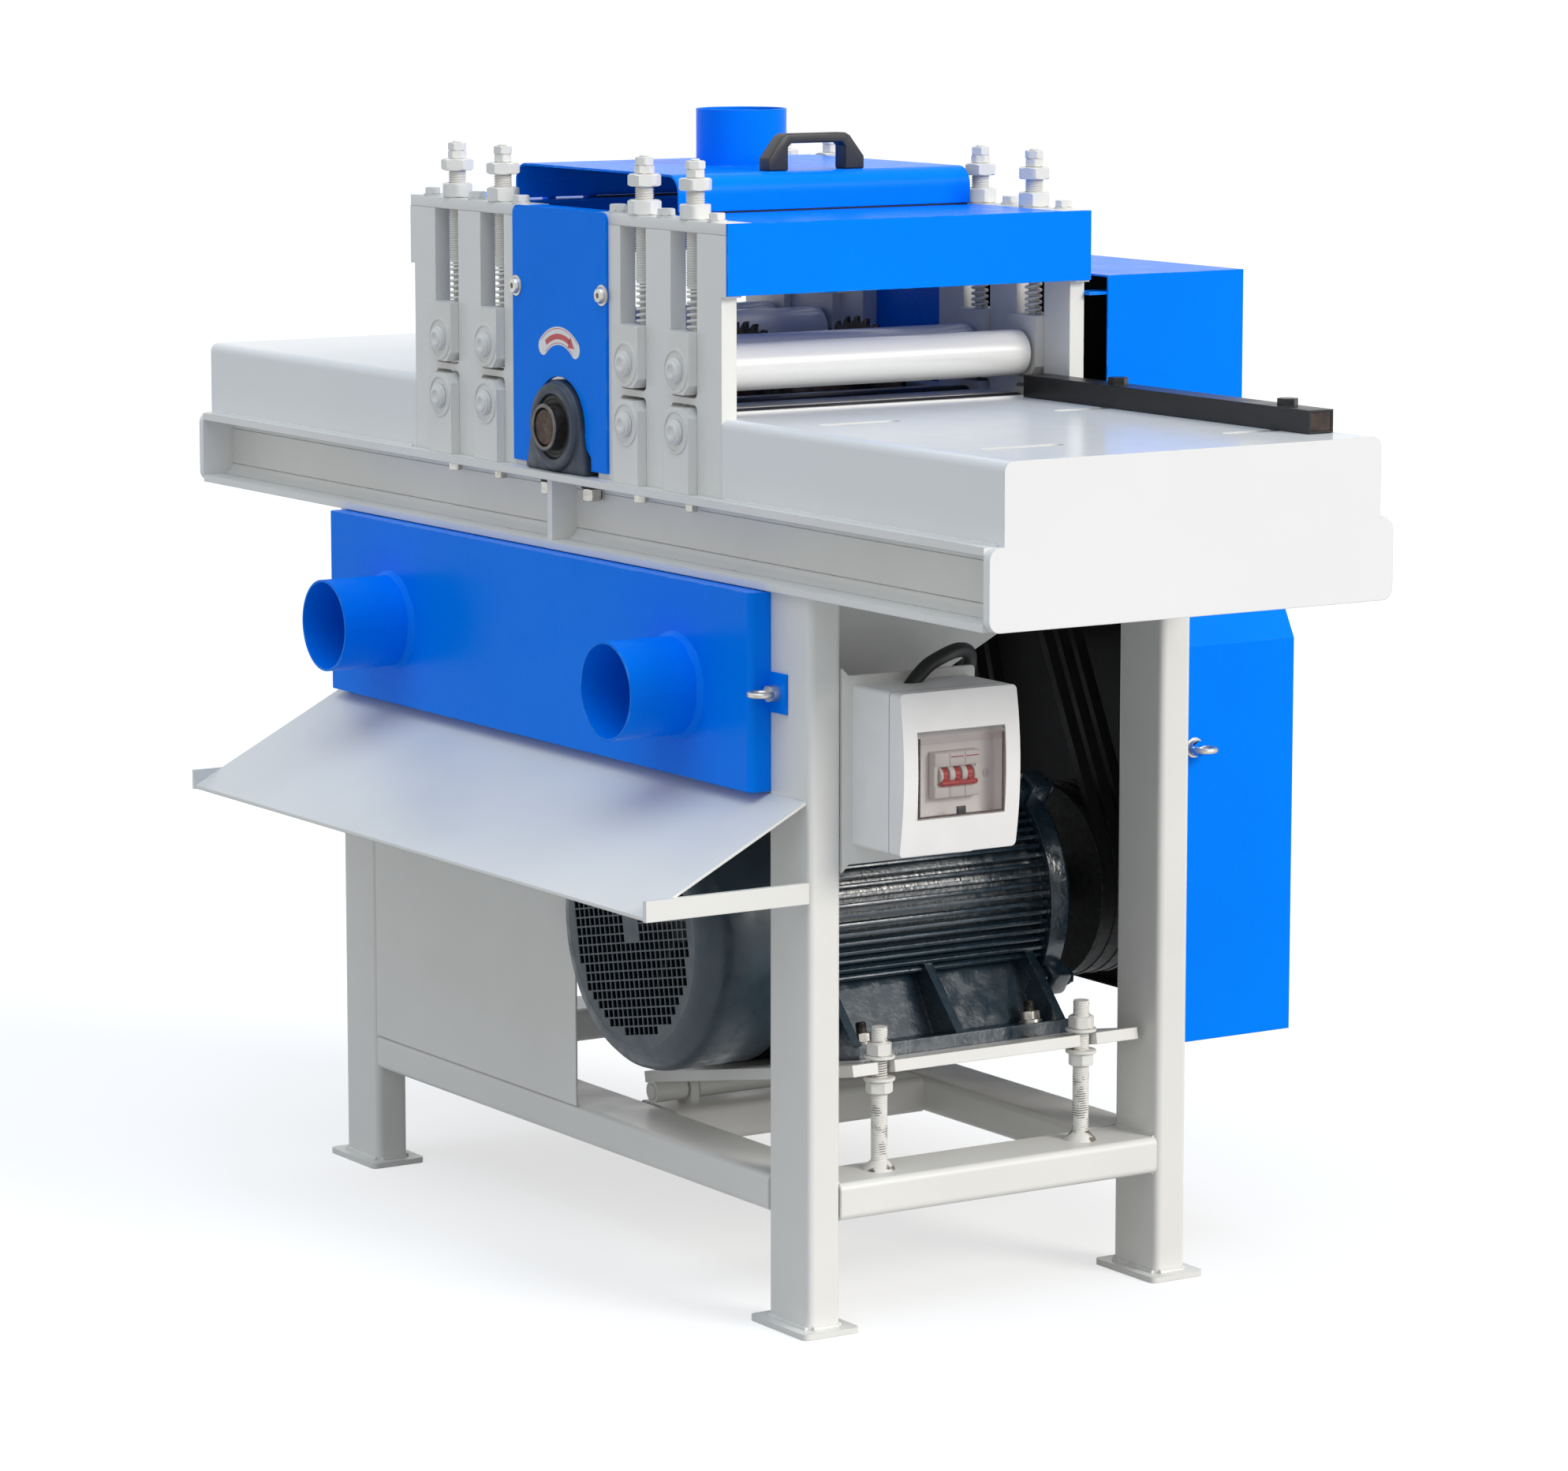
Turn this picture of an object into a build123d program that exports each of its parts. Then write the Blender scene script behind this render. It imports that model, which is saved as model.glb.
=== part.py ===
from build123d import *
import math
import os

os.makedirs("parts", exist_ok=True)

# Multi-rip saw, millimetres, +Z up. The origin is on the floor under the middle of the saw head.
# The work is fed along X and enters at +X. The dust ports face -Y and the belt drive is at +Y.

# Clearances
RUN = 0.05
GAP = 0.3
SEAT = 2.0

# Table and side channels
TABLE_HEIGHT = 900.0
TABLE_LENGTH = 1614.0
TABLE_WIDTH = 444.0
TABLE_SHEET = 8.0
TABLE_BEND = 10.0
TABLE_SKIRT = 80.0
END_PLATE = 10.0
END_PLATE_CORNER = 12.0
CHANNEL_LEDGE = 16.5
CHANNEL_HEIGHT = 80.0
CHANNEL_FLANGE = 43.0
CHANNEL_WEB = 5.0
CHANNEL_LIP = 8.0
CHANNEL_RIB = 10.0
CHANNEL_RIB_X = -12.0
CHANNEL_RIB_INSET = 8.0

# Rip fence and its slots in the infeed table
FENCE_NEAR_BOLT = 421.0
FENCE_FAR_BOLT = 702.0
FENCE_START = 275.0
FENCE_LENGTH = 480.0
FENCE_WIDTH = 30.0
FENCE_HEIGHT = 23.0
FENCE_WALL = 2.5
FENCE_INSET = 33.5
FENCE_TRAVEL = 62.0
FENCE_BOLT = 12.0
FENCE_BOLT_AF = 18.0
FENCE_BOLT_HEAD = 7.5
FENCE_SLOT_RUN = 76.0
FENCE_SLOT_INSET = 94.5

# Saw head
HEAD_LENGTH = 628.0
HEAD_PLATE = 18.0
HEAD_PLATE_RISE = 263.0
BAY_WIDTH = 148.0
EAR_HEIGHT = 62.0
SLOT_WIDTH = 50.0
SLOT_CORNER = 6.0
UPPER_SLOT_DEPTH = 166.0
LOWER_SLOT_DEPTH = 90.0
INNER_ROLLER_X = 144.5
OUTER_ROLLER_X = 243.0
CAP_THICKNESS = 12.0
CAP_WIDTH = 32.0
CAP_LENGTH = 236.0
CAP_BOLT = 10.0
CAP_BOLT_AF = 16.0
CAP_BOLT_HEAD = 7.0
CAP_BOLT_INSET = 10.0
CAP_BOLT_END = 23.5
WASHER = 2.0

# Bed strips between the lower rollers
BED_THICKNESS = 8.0
BED_OPENING = 51.0
BED_LIP = 6.5
BED_LIP_RISE = 2.0
BED_LIP_INSET = 9.0
BLADE_WINDOW_X = 212.0
BLADE_WINDOW_SIDE = 28.0

# Rollers and their blocks
UPPER_ROLLER = 48.0
LOWER_ROLLER = 40.0
ROLLER_END_GAP = 4.0
ROLLER_PROUD = 2.0
WORK_GAP = 20.0
JOURNAL = 20.0
JOURNAL_HUB = 26.0
JOURNAL_HUB_LENGTH = 4.0
HUB_CENTRE = 9.0
BLOCK_PROUD = 10.0
BLOCK_CORNER = 10.0
UPPER_BLOCK = 63.0
UPPER_BLOCK_BELOW = 24.0
LOWER_BLOCK = 87.0
BEARING_RING = 44.0
BEARING_GROOVE = 1.2

# Height adjusters
SCREW = 20.0
SCREW_BORE = 13.0
SCREW_LENGTH = 99.0
SCREW_HEAD_AF = 31.0
SCREW_HEAD = 12.5
CAP_NUT_AF = 31.0
CAP_NUT = 15.5
ROD = 11.5
ROD_NUT_AF = 18.0
ROD_NUT = 8.5
ROD_NUT_TURN = 20.0
ADJUSTER_INSET = 14.0

# Pressure springs
SPRING_WIRE = 3.0
SPRING_RADIUS = 7.8
SPRING_HEIGHT = 42.0
SPRING_TURNS = 6
SPRING_BEND = 3.2
SPRING_SAMPLES = 60

# Sheet covers of the head
COVER_SHEET = 3.0
COVER_REACH = 12.0
COVER_DROP = 72.0
COVER_TOP_REACH = 176.0
COVER_TOP_SIDE = 2.0
BAY_COVER_WIDTH = 192.0
BAY_COVER_RAISE = 6.0
BAY_FLANGE = 24.0
COVER_SCREW = 8.0
COVER_SCREW_HEAD = 17.0
COVER_SCREW_RISE = 6.0
COVER_SCREW_ROUND = 3.6
COVER_SCREW_SOCKET = 5.5
COVER_SCREW_X = 88.0
COVER_SCREW_DROP = 85.0

# Dust hood
HOOD_WIDTH = 332.0
HOOD_SIDE_GAP = 10.0
HOOD_HEIGHT = 38.0
HOOD_SHEET = 2.5
HOOD_BEND = 20.0
HOOD_SEAT = 2.0
HOOD_OUTLET = 96.0
HOOD_OUTLET_RISE = 59.0
HOOD_PIN = 6.0
HOOD_KNUCKLE = 12.0
HOOD_KNUCKLE_LENGTH = 40.0
HOOD_KNUCKLE_Y = 110.0
HINGE_LUG = 10.0
HANDLE_X = 137.0
HANDLE_LENGTH = 118.0
HANDLE_RISE = 38.0
HANDLE_WIDTH = 20.0
HANDLE_FOOT = 26.0
HANDLE_GRIP = 12.0
HANDLE_CORNER = 10.0

# Arbor
ARBOR_DROP = 32.0
ARBOR = 40.0
ARBOR_STUB = 7.5
BEARING_BLOCK_WIDTH = 120.0
BEARING_BLOCK_DEPTH = 50.0
BEARING_BLOCK_FOOT = 18.0
BEARING_BLOCK_RADIUS = 48.0
BEARING_BLOCK_INSET = 2.5
BEARING_INSERT = 62.0
BEARING_INSERT_DEPTH = 3.0
BEARING_ARCH_GAP = 4.0
BEARING_LEAN = 20.0
BEARING_BOLT = 12.0
BEARING_BOLT_AF = 19.0
BEARING_BOLT_HEAD = 8.0
BEARING_BOLT_X = 42.0
BLOCK_BOLT = 8.0
BLOCK_BOLT_AF = 13.0
BLOCK_BOLT_HEAD = 5.5
BLOCK_BOLT_GRIP = 20.0
BLADE = 200.0
BLADE_PLATE = 3.0
BLADE_TEETH = 32
BLADE_TOOTH = 7.0
TOOTH_FALL = 1.2
TOOTH_BACK = 0.3
TOOTH_FOOT = 0.62
TOOTH_END = 0.9
BLADE_NEAR_INSET = 41.0
BLADE_FAR_INSET = 27.0
BLADE_COUNT = 3
SPACER = 60.0
SPACER_END = 1.0

# Belt drive
PULLEY_GAP = 22.0
PULLEY_WIDTH = 64.0
ARBOR_PULLEY = 130.0
MOTOR_PULLEY = 210.0
BELT_COUNT = 3
BELT_PITCH = 19.0
BELT_WIDTH = 13.0
BELT_DEPTH = 10.0
BELT_BELOW_RIM = 1.0

# Base frame
BASE_SHIFT = 8.4
LEG_SPACING = 892.0
LEG_INSET = 5.8
TUBE_WIDE = 76.0
TUBE_NARROW = 38.0
TUBE_WALL = 4.0
TUBE_CORNER = 7.0
FOOT_LENGTH = 104.0
FOOT_WIDTH = 66.0
FOOT_PLATE = 6.0
RAIL_DROP = 628.0
CROSS_RAIL_X = 83.0
SIDE_SHEET = 2.0
SIDE_SHEET_DROP = 220.0
COWL_ROOM = 12.0
TAB_PLATE = 4.4
TAB_REACH = 157.7
TAB_DROP = 268.0
TAB_HEIGHT = 188.0
TAB_CORNER = 8.0
TAB_ROUND = 4.0
ARM_HEIGHT = 21.0
ARM_THICKNESS = 6.0
ARM_DROP = 303.0

# Waste chute
CHUTE_SHEET = 3.0
CHUTE_REACH = 187.8
CHUTE_DROP = 202.0
CHUTE_SLOPE = 27.25
CHUTE_RUN = 382.7
CHUTE_LIP = 10.0

# Dust tray
TRAY_START = -454.5
TRAY_LENGTH = 876.5
TRAY_DROP = 200.0
TRAY_HEIGHT = 199.0
TRAY_DEPTH = 24.3
TRAY_SHEET = 2.5
TRAY_CORNER = 6.0
PORT = 100.0
PORT_WALL = 2.5
PORT_REACH = 82.0
PORT_NEAR_X = 281.4
PORT_FAR_X = -314.6
PORT_DROP = 109.0
PORT_WELD = 5.0
TRAY_TAB = 34.0
TRAY_TAB_HEIGHT = 40.0
TRAY_TAB_DROP = 100.0
TRAY_STUD = 8.0
EYE_RING = 11.0
EYE_WIRE = 3.0
EYE_NECK = 8.0

# Motor and cradle
MOTOR_X = 201.0
MOTOR_DROP = 370.0
MOTOR_TILT = 11.0
MOTOR_HEIGHT = 156.0
MOTOR_CORE = 232.0
MOTOR_CAVITY = 170.0
MOTOR_BODY_START = -150.0
MOTOR_BODY_LENGTH = 322.0
FIN_HEIGHT = 13.0
FIN_THICKNESS = 4.0
FIN_COUNT = 40
FIN_FOOT_ANGLE = 50.0
FIN_BOX_ANGLE = 30.0
SHIELD = 268.0
SHIELD_RIM = 28.0
SHIELD_CHAMFER = 7.0
SHIELD_HUB = 124.0
SHIELD_HUB_REACH = 42.0
SHIELD_WALL = 14.0
SHAFT = 42.0
ROTOR_CORE_GAP = 6.0
FOOT_SPREAD = 330.0
FOOT_PAD = 64.0
FOOT_THICKNESS = 14.0
FOOT_START = -107.0
FOOT_RUN = 265.0
FOOT_RIB = 10.0
FOOT_WEB_OUT = 81.0
FOOT_WEB_IN = 61.0
FOOT_WEB_KNEE = 76.0
FOOT_WEB_KNEE_DROP = 19.0
FOOT_BOLT_SPREAD = 254.0
FOOT_BOLT_PITCH = 210.0
FOOT_BOLT_FIRST = -77.0
FOOT_BOLT = 12.0
FOOT_BOLT_AF = 19.0
FOOT_BOLT_HEAD = 8.0
COWL = 300.0
COWL_FACE = -262.0
COWL_SHEET = 2.0
COWL_ROUND = 30.0
FAN = 230.0
FAN_WIDTH = 36.0
FAN_BLADES = 8
FAN_BLADE = 4.0
FAN_VANE = 88.0
FAN_VANE_MIDDLE = 60.0
TERMINAL_X = 14.0
TERMINAL_LENGTH = 90.0
TERMINAL_START = -30.0
TERMINAL_WIDTH = 110.0
TERMINAL_TOP = 178.0
CRADLE_NEAR_X = 240.0
CRADLE_FAR_X = -167.0
CRADLE_START = -165.0
CRADLE_LENGTH = 352.0
CRADLE_PLATE = 12.0
CRADLE_TUBE = 24.0
CRADLE_PIN = 16.0
CRADLE_PIN_IN = 12.0
CRADLE_LUG_Y = 120.0
CRADLE_LUG = 10.0
CRADLE_LUG_GAP = 2.0
STUD = 16.0
STUD_Y = 124.5
STUD_LENGTH = 146.0
STUD_NUT_AF = 24.0
STUD_NUT = 13.0
STUD_WASHER = 32.0
STUD_WASHER_THICKNESS = 3.0
NOTCH_PLAY = 2.0
NOTCH_SWING = 9.0

# Breaker box
BREAKER_SIDE = 12.7
BREAKER_WIDTH = 138.0
BREAKER_DROP = 250.0
BREAKER_HEIGHT = 161.0
BREAKER_BACK_DEPTH = 64.0
BREAKER_FRONT_DEPTH = 18.0
BREAKER_BULGE = 8.0
BREAKER_WALL = 2.5
BREAKER_CORNER = 5.0
WINDOW_WIDTH = 104.0
WINDOW_HEIGHT = 87.0
WINDOW_RISE = 36.0
SWITCH_WIDTH = 54.0
SWITCH_NOSE = 45.0
SWITCH_HEIGHT = 84.0
SWITCH_SIDE = 72.0
SWITCH_RISE = 76.0
SWITCH_NOSE_RISE = 12.0
TOGGLE_RADIUS = 7.0
TOGGLE_LEVER = 13.0
TOGGLE_LEVER_WIDTH = 6.0
TOGGLE_REST = 45.0
TOGGLE_SPAN = 44.0
TOGGLE_PIVOT_IN = 4.0
FLAP_SHEET = 2.0
FLAP_PLAY = 1.0
FLAP_ROLL = 4.0
FLAP_PIN = 2.0
FLAP_PIN_REACH = 3.0
FLAP_AXIS_IN = 2.5

# Motor lead
LEAD = 15.0
GLAND = 24.0
GLAND_LENGTH = 14.0
LEAD_IN_GLAND = 8.0
LEAD_OUT = 17.6
LEAD_SIDE = 59.0
LEAD_LAST_RUN = 36.0
LEAD_BEND_SHARE = 0.45
LEAD_ENTRY = ((2, -10, -10), (-2.4, 12, 12))
LEAD_BENDS = ((-7, 45, 31), (-32, 79, 35), (-48, 89, 9), (-54, 93, -31), (-66, 101, -69), (-96, 117, -93),
              (-136, 133, -102))

# Belt guards
GUARD_SHEET = 2.0
GUARD_GAP = 5.5
GUARD_DEPTH = 176.0
GUARD_HALF = 326.0
GUARD_RISE = 127.0
GUARD_SPLIT_DROP = 76.0
GUARD_SPLIT_GAP = 2.0
GUARD_BOTTOM_DROP = 512.0
GUARD_WIDE_X = 421.0
GUARD_SHOULDER_DROP = 94.0
GUARD_FAR_X = -330.0
GUARD_FLANGE = 22.0
GUARD_TAB = 30.0
GUARD_TAB_PLATE = 3.0
GUARD_EYE_IN = 46.0
GUARD_EYE_DROP = 200.0

# Roller feed drive
SPROCKET = 49.0
SPROCKET_WIDTH = 7.0
SPROCKET_GAP = 9.5
CHAIN_THICKNESS = 6.0
CHAIN_WIDTH = 8.0
FEED_X = -243.0
FEED_DROP = 120.0
FEED_BOX = 120.0
FEED_BOX_HEIGHT = 150.0
FEED_BOX_DEPTH = 95.0
FEED_BOX_INSET = 13.5
FEED_BOX_BELOW = 60.0
FEED_MOTOR = 116.0
FEED_MOTOR_LENGTH = 190.0
FEED_MOTOR_IN = 75.0
FEED_SHAFT = 20.0
FEED_BRACKET = 84.0
FEED_BRACKET_WIDTH = 28.0

# Levels and lines worked out from the driving sizes
CHANNEL_TOP = TABLE_HEIGHT - TABLE_SKIRT
CHANNEL_BOTTOM = CHANNEL_TOP - CHANNEL_HEIGHT
CHANNEL_SPAN = TABLE_WIDTH + 2 * CHANNEL_LEDGE
CHANNEL_OUT = CHANNEL_SPAN / 2
HEAD_OUT = TABLE_WIDTH / 2
HEAD_IN = HEAD_OUT - HEAD_PLATE
HEAD_END = HEAD_LENGTH / 2
PLATE_TOP = CHANNEL_TOP + HEAD_PLATE_RISE
HEAD_TOP = PLATE_TOP + CAP_THICKNESS
BLOCK_IN = HEAD_IN - BLOCK_PROUD
BLOCK_OUT = HEAD_OUT + BLOCK_PROUD
ROLLER_LENGTH = 2 * (BLOCK_IN - ROLLER_END_GAP)
BED_LIP_LENGTH = 2 * (HEAD_IN - BED_LIP_INSET)
BLADE_WINDOW_Y = 2 * (HEAD_IN - BLADE_WINDOW_SIDE)
FENCE_Y = TABLE_WIDTH / 2 - FENCE_INSET
FENCE_SLOT_NEAR_Y = FENCE_SLOT_INSET - TABLE_WIDTH / 2
COVER_SCREW_Z = HEAD_TOP - COVER_SCREW_DROP
HOOD_LENGTH = 2 * (HEAD_OUT - CAP_WIDTH - HOOD_SIDE_GAP)
BEARING_BLOCK_OUT = CHANNEL_OUT - BEARING_BLOCK_INSET
ARBOR_NEAR_END = -BEARING_BLOCK_OUT - ARBOR_STUB
BLADE_FIRST_Y = BLADE_NEAR_INSET - BLADE_WINDOW_Y / 2
BLADE_PITCH = (BLADE_WINDOW_Y - BLADE_NEAR_INSET - BLADE_FAR_INSET) / (BLADE_COUNT - 1)
PULLEY_START = BEARING_BLOCK_OUT + PULLEY_GAP
ROLLER_ROWS = (OUTER_ROLLER_X, INNER_ROLLER_X, -INNER_ROLLER_X, -OUTER_ROLLER_X)
UPPER_AXIS = TABLE_HEIGHT + WORK_GAP + UPPER_ROLLER / 2
LOWER_AXIS = TABLE_HEIGHT + ROLLER_PROUD - LOWER_ROLLER / 2
BLOCK_TOP = UPPER_AXIS - UPPER_BLOCK_BELOW + UPPER_BLOCK
SCREW_BOTTOM = BLOCK_TOP + SPRING_HEIGHT
SCREW_TOP = SCREW_BOTTOM + SCREW_LENGTH
ADJUSTER_Y = HEAD_OUT - ADJUSTER_INSET
COVER_FACE = HEAD_END + COVER_REACH
EAR_END = COVER_FACE - COVER_SHEET
ARBOR_AXIS = TABLE_HEIGHT - ARBOR_DROP
HOOD_BOTTOM = HEAD_TOP + HOOD_SEAT
HOOD_TOP = HOOD_BOTTOM + HOOD_HEIGHT
LEG_OUT = CHANNEL_OUT - LEG_INSET
LEG_IN = LEG_OUT - TUBE_NARROW
LEG_XS = (BASE_SHIFT + LEG_SPACING / 2, BASE_SHIFT - LEG_SPACING / 2)
RAIL_HEIGHT = CHANNEL_BOTTOM - RAIL_DROP
RAIL_TOP = RAIL_HEIGHT + TUBE_NARROW
STUD_TOP = RAIL_TOP + STUD_LENGTH
SIDE_SHEET_TOP = CHANNEL_BOTTOM - SIDE_SHEET_DROP
SIDE_SHEET_END = MOTOR_X - COWL / 2 - COWL_ROOM
TAB_BOTTOM = CHANNEL_BOTTOM - TAB_DROP
ARM_BOTTOM = CHANNEL_BOTTOM - ARM_DROP
CHUTE_TIP_Y = -LEG_OUT - CHUTE_REACH
CHUTE_LEG_Z = CHANNEL_BOTTOM - CHUTE_DROP
CHUTE_TOP_Y = CHUTE_RUN - LEG_OUT
TRAY_BOTTOM = CHANNEL_BOTTOM - TRAY_DROP
PORT_Z = CHANNEL_BOTTOM - PORT_DROP
TRAY_TAB_Z = CHANNEL_BOTTOM - TRAY_TAB_DROP
MOTOR_Z = CHANNEL_BOTTOM - MOTOR_DROP
MOTOR_BODY_END = MOTOR_BODY_START + MOTOR_BODY_LENGTH
MOTOR_PLACE = Pos(MOTOR_X, 0, MOTOR_Z) * Rot(0, -MOTOR_TILT, 0)
TAB_FACE = LEG_XS[0] + TUBE_WIDE / 2
BREAKER_Y = BREAKER_SIDE - LEG_IN
BREAKER_BOTTOM = CHANNEL_BOTTOM - BREAKER_DROP
WINDOW_BOTTOM = BREAKER_BOTTOM + WINDOW_RISE
SWITCH_Y = BREAKER_Y + SWITCH_SIDE
SWITCH_Z = BREAKER_BOTTOM + SWITCH_RISE
LEAD_X = TAB_FACE + LEAD_OUT
LEAD_Y = BREAKER_Y + LEAD_SIDE
GUARD_START = CHANNEL_OUT + GUARD_GAP
GUARD_TOP = TABLE_HEIGHT + GUARD_RISE
GUARD_SPLIT = TABLE_HEIGHT - GUARD_SPLIT_DROP
GUARD_BOTTOM = CHANNEL_BOTTOM - GUARD_BOTTOM_DROP
GUARD_SHOULDER = CHANNEL_BOTTOM - GUARD_SHOULDER_DROP
GUARD_EYE_Y = GUARD_START + GUARD_EYE_IN
GUARD_EYE_Z = CHANNEL_BOTTOM - GUARD_EYE_DROP
SPROCKET_Y = CHANNEL_OUT + SPROCKET_GAP
FEED_Z = CHANNEL_BOTTOM - FEED_DROP
FEED_BOX_END = CHANNEL_OUT - FEED_BOX_INSET
FEED_MOTOR_Y = FEED_BOX_END - FEED_MOTOR_IN


def box(x0, x1, y0, y1, z0, z1):
    return Pos((x0 + x1) / 2, (y0 + y1) / 2, (z0 + z1) / 2) * Box(x1 - x0, y1 - y0, z1 - z0)


def slab_x(outline, x0, x1):
    return extrude(Plane.YZ.offset(x0) * outline, x1 - x0)


def slab_y(outline, y0, y1):
    return extrude(Plane.XZ.offset(-y1) * outline, y1 - y0)


def slab_z(outline, z0, z1):
    return extrude(Plane.XY.offset(z0) * outline, z1 - z0)


def shape(*points):
    return make_face(Polyline(*points, close=True))


def round_x(y, z, x0, x1, diameter):
    return slab_x(Pos(y, z) * Circle(diameter / 2), x0, x1)


def round_y(x, z, y0, y1, diameter):
    return slab_y(Pos(x, z) * Circle(diameter / 2), y0, y1)


def round_z(x, y, z0, z1, diameter):
    return slab_z(Pos(x, y) * Circle(diameter / 2), z0, z1)


def hexagon(across):
    return RegularPolygon(across / 2, 6, major_radius=False)


def tube_section(wide, tall):
    outer = RectangleRounded(wide, tall, TUBE_CORNER)
    inner = RectangleRounded(wide - 2 * TUBE_WALL, tall - 2 * TUBE_WALL, TUBE_CORNER - TUBE_WALL)
    return outer - inner


def both_sides(piece):
    return [piece, piece.mirror(Plane.XZ)]


def both_ends(piece):
    return [piece, piece.mirror(Plane.YZ)]


def four_corners(piece):
    return [copy for side in both_sides(piece) for copy in both_ends(side)]


def save(node, *solids):
    pieces = [solid for entry in solids for solid in entry.solids()]
    whole = pieces[0] if len(pieces) == 1 else Compound(pieces)
    export_step(whole, f"parts/{node}.step")


# Base frame: tube legs on foot plates, rails, breaker tab, chute arms, cradle studs, lugs and pin
def leg(x):
    return Pos(x, LEG_OUT - TUBE_NARROW / 2) * slab_z(
        tube_section(TUBE_WIDE, TUBE_NARROW), FOOT_PLATE, CHANNEL_BOTTOM)


def foot(x):
    pad = Pos(x, LEG_OUT - TUBE_NARROW / 2) * RectangleRounded(FOOT_LENGTH, FOOT_WIDTH, TUBE_CORNER)
    return slab_z(pad, 0, FOOT_PLATE)


def cross_rail(x, reach):
    section = Pos(x, RAIL_HEIGHT + TUBE_NARROW / 2) * tube_section(TUBE_WIDE, TUBE_NARROW)
    return slab_y(section, -reach, reach)


def long_rail():
    middle = Pos(LEG_OUT - TUBE_WIDE / 2, RAIL_HEIGHT + TUBE_NARROW / 2)
    section = middle * tube_section(TUBE_WIDE, TUBE_NARROW)
    return slab_x(section, LEG_XS[1] + TUBE_WIDE / 2, LEG_XS[0] - TUBE_WIDE / 2)


def breaker_tab():
    inner_end = -LEG_IN + TAB_REACH
    low, high = TAB_BOTTOM, TAB_BOTTOM + TAB_HEIGHT
    outline = shape((-LEG_IN, low - TAB_CORNER), (-LEG_IN, high + TAB_CORNER), (-LEG_IN + TAB_CORNER, high),
                    (inner_end, high), (inner_end, low), (-LEG_IN + TAB_CORNER, low))
    outline = fillet(outline.vertices().group_by(Axis.X)[-1], TAB_ROUND)
    return slab_x(outline, TAB_FACE - TAB_PLATE, TAB_FACE)


def chute_arm(x0):
    return box(x0, x0 + ARM_THICKNESS, CHUTE_TIP_Y, -LEG_OUT, ARM_BOTTOM, ARM_BOTTOM + ARM_HEIGHT)


HINGE_LOCAL = (CRADLE_FAR_X + CRADLE_PIN_IN, -MOTOR_HEIGHT - CRADLE_PLATE - CRADLE_TUBE / 2 + SEAT)
HINGE = (MOTOR_PLACE * Pos(HINGE_LOCAL[0], 0, HINGE_LOCAL[1])).position
PIN_START = CRADLE_START - CRADLE_LUG_GAP
PIN_END = CRADLE_START + CRADLE_LENGTH + CRADLE_LUG_GAP


def cradle_lug(y):
    width = CRADLE_TUBE + 2 * CRADLE_LUG_GAP
    outline = Pos(HINGE.X, HINGE.Z) * Circle(width / 2)
    outline += Pos(HINGE.X, (RAIL_TOP + HINGE.Z) / 2) * Rectangle(width, HINGE.Z - RAIL_TOP)
    outline -= Pos(HINGE.X, HINGE.Z) * Circle(CRADLE_PIN / 2 + RUN)
    return slab_y(outline, y - CRADLE_LUG / 2, y + CRADLE_LUG / 2)


legs = [piece for x in LEG_XS for piece in both_sides(leg(x))]
feet = [piece for x in LEG_XS for piece in both_sides(foot(x))]
rails = [cross_rail(x, LEG_IN) for x in LEG_XS] + both_sides(long_rail())
rails.append(cross_rail(CROSS_RAIL_X, LEG_OUT - TUBE_WIDE))
studs = [round_z(LEG_XS[0], y, RAIL_TOP, STUD_TOP, STUD) for y in (-STUD_Y, STUD_Y)]
lugs = [cradle_lug(y) for y in (-CRADLE_LUG_Y, CRADLE_LUG_Y)]
pin = round_y(HINGE.X, HINGE.Z, PIN_START, PIN_END, CRADLE_PIN)
arms = [chute_arm(TAB_FACE - ARM_THICKNESS), chute_arm(LEG_XS[1] - TUBE_WIDE / 2)]
side_start = LEG_XS[1] + TUBE_WIDE / 2
side_sheet = box(side_start, SIDE_SHEET_END, -LEG_OUT, SIDE_SHEET - LEG_OUT, RAIL_TOP, SIDE_SHEET_TOP)
save("base_frame", *legs, *feet, *rails, breaker_tab(), *arms, *studs, *lugs, pin, side_sheet)


# Waste chute: a sloping sheet between two end walls, wider outside the legs
def chute_z(y):
    return CHUTE_LEG_Z + (y + LEG_OUT) * math.tan(math.radians(CHUTE_SLOPE))


CHUTE_RISE = CHUTE_SHEET / math.cos(math.radians(CHUTE_SLOPE))
WALL_NEAR = LEG_XS[0] - TUBE_WIDE / 2
WALL_FAR = LEG_XS[1] + TUBE_WIDE / 2


def chute_sheet(x0, x1, y0, y1):
    outline = shape((y0, chute_z(y0) - CHUTE_RISE), (y0, chute_z(y0)), (y1, chute_z(y1)),
                    (y1, chute_z(y1) - CHUTE_RISE))
    return slab_x(outline, x0, x1)


def chute_wall(x0):
    outline = shape((-LEG_OUT, chute_z(-LEG_OUT)), (-LEG_OUT, CHANNEL_BOTTOM), (CHUTE_TOP_Y, CHANNEL_BOTTOM),
                    (CHUTE_TOP_Y, chute_z(CHUTE_TOP_Y)))
    return slab_x(outline, x0, x0 + CHUTE_SHEET)


inner_chute = chute_sheet(WALL_FAR, WALL_NEAR, -LEG_OUT, CHUTE_TOP_Y - CHUTE_LIP)
outer_chute = chute_sheet(LEG_XS[1] - TUBE_WIDE / 2 + ARM_THICKNESS, TAB_FACE - ARM_THICKNESS,
                          CHUTE_TIP_Y, -LEG_OUT)
chute_walls = [chute_wall(WALL_NEAR - CHUTE_SHEET), chute_wall(WALL_FAR)]
save("waste_chute", inner_chute + outer_chute, *chute_walls)


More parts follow.
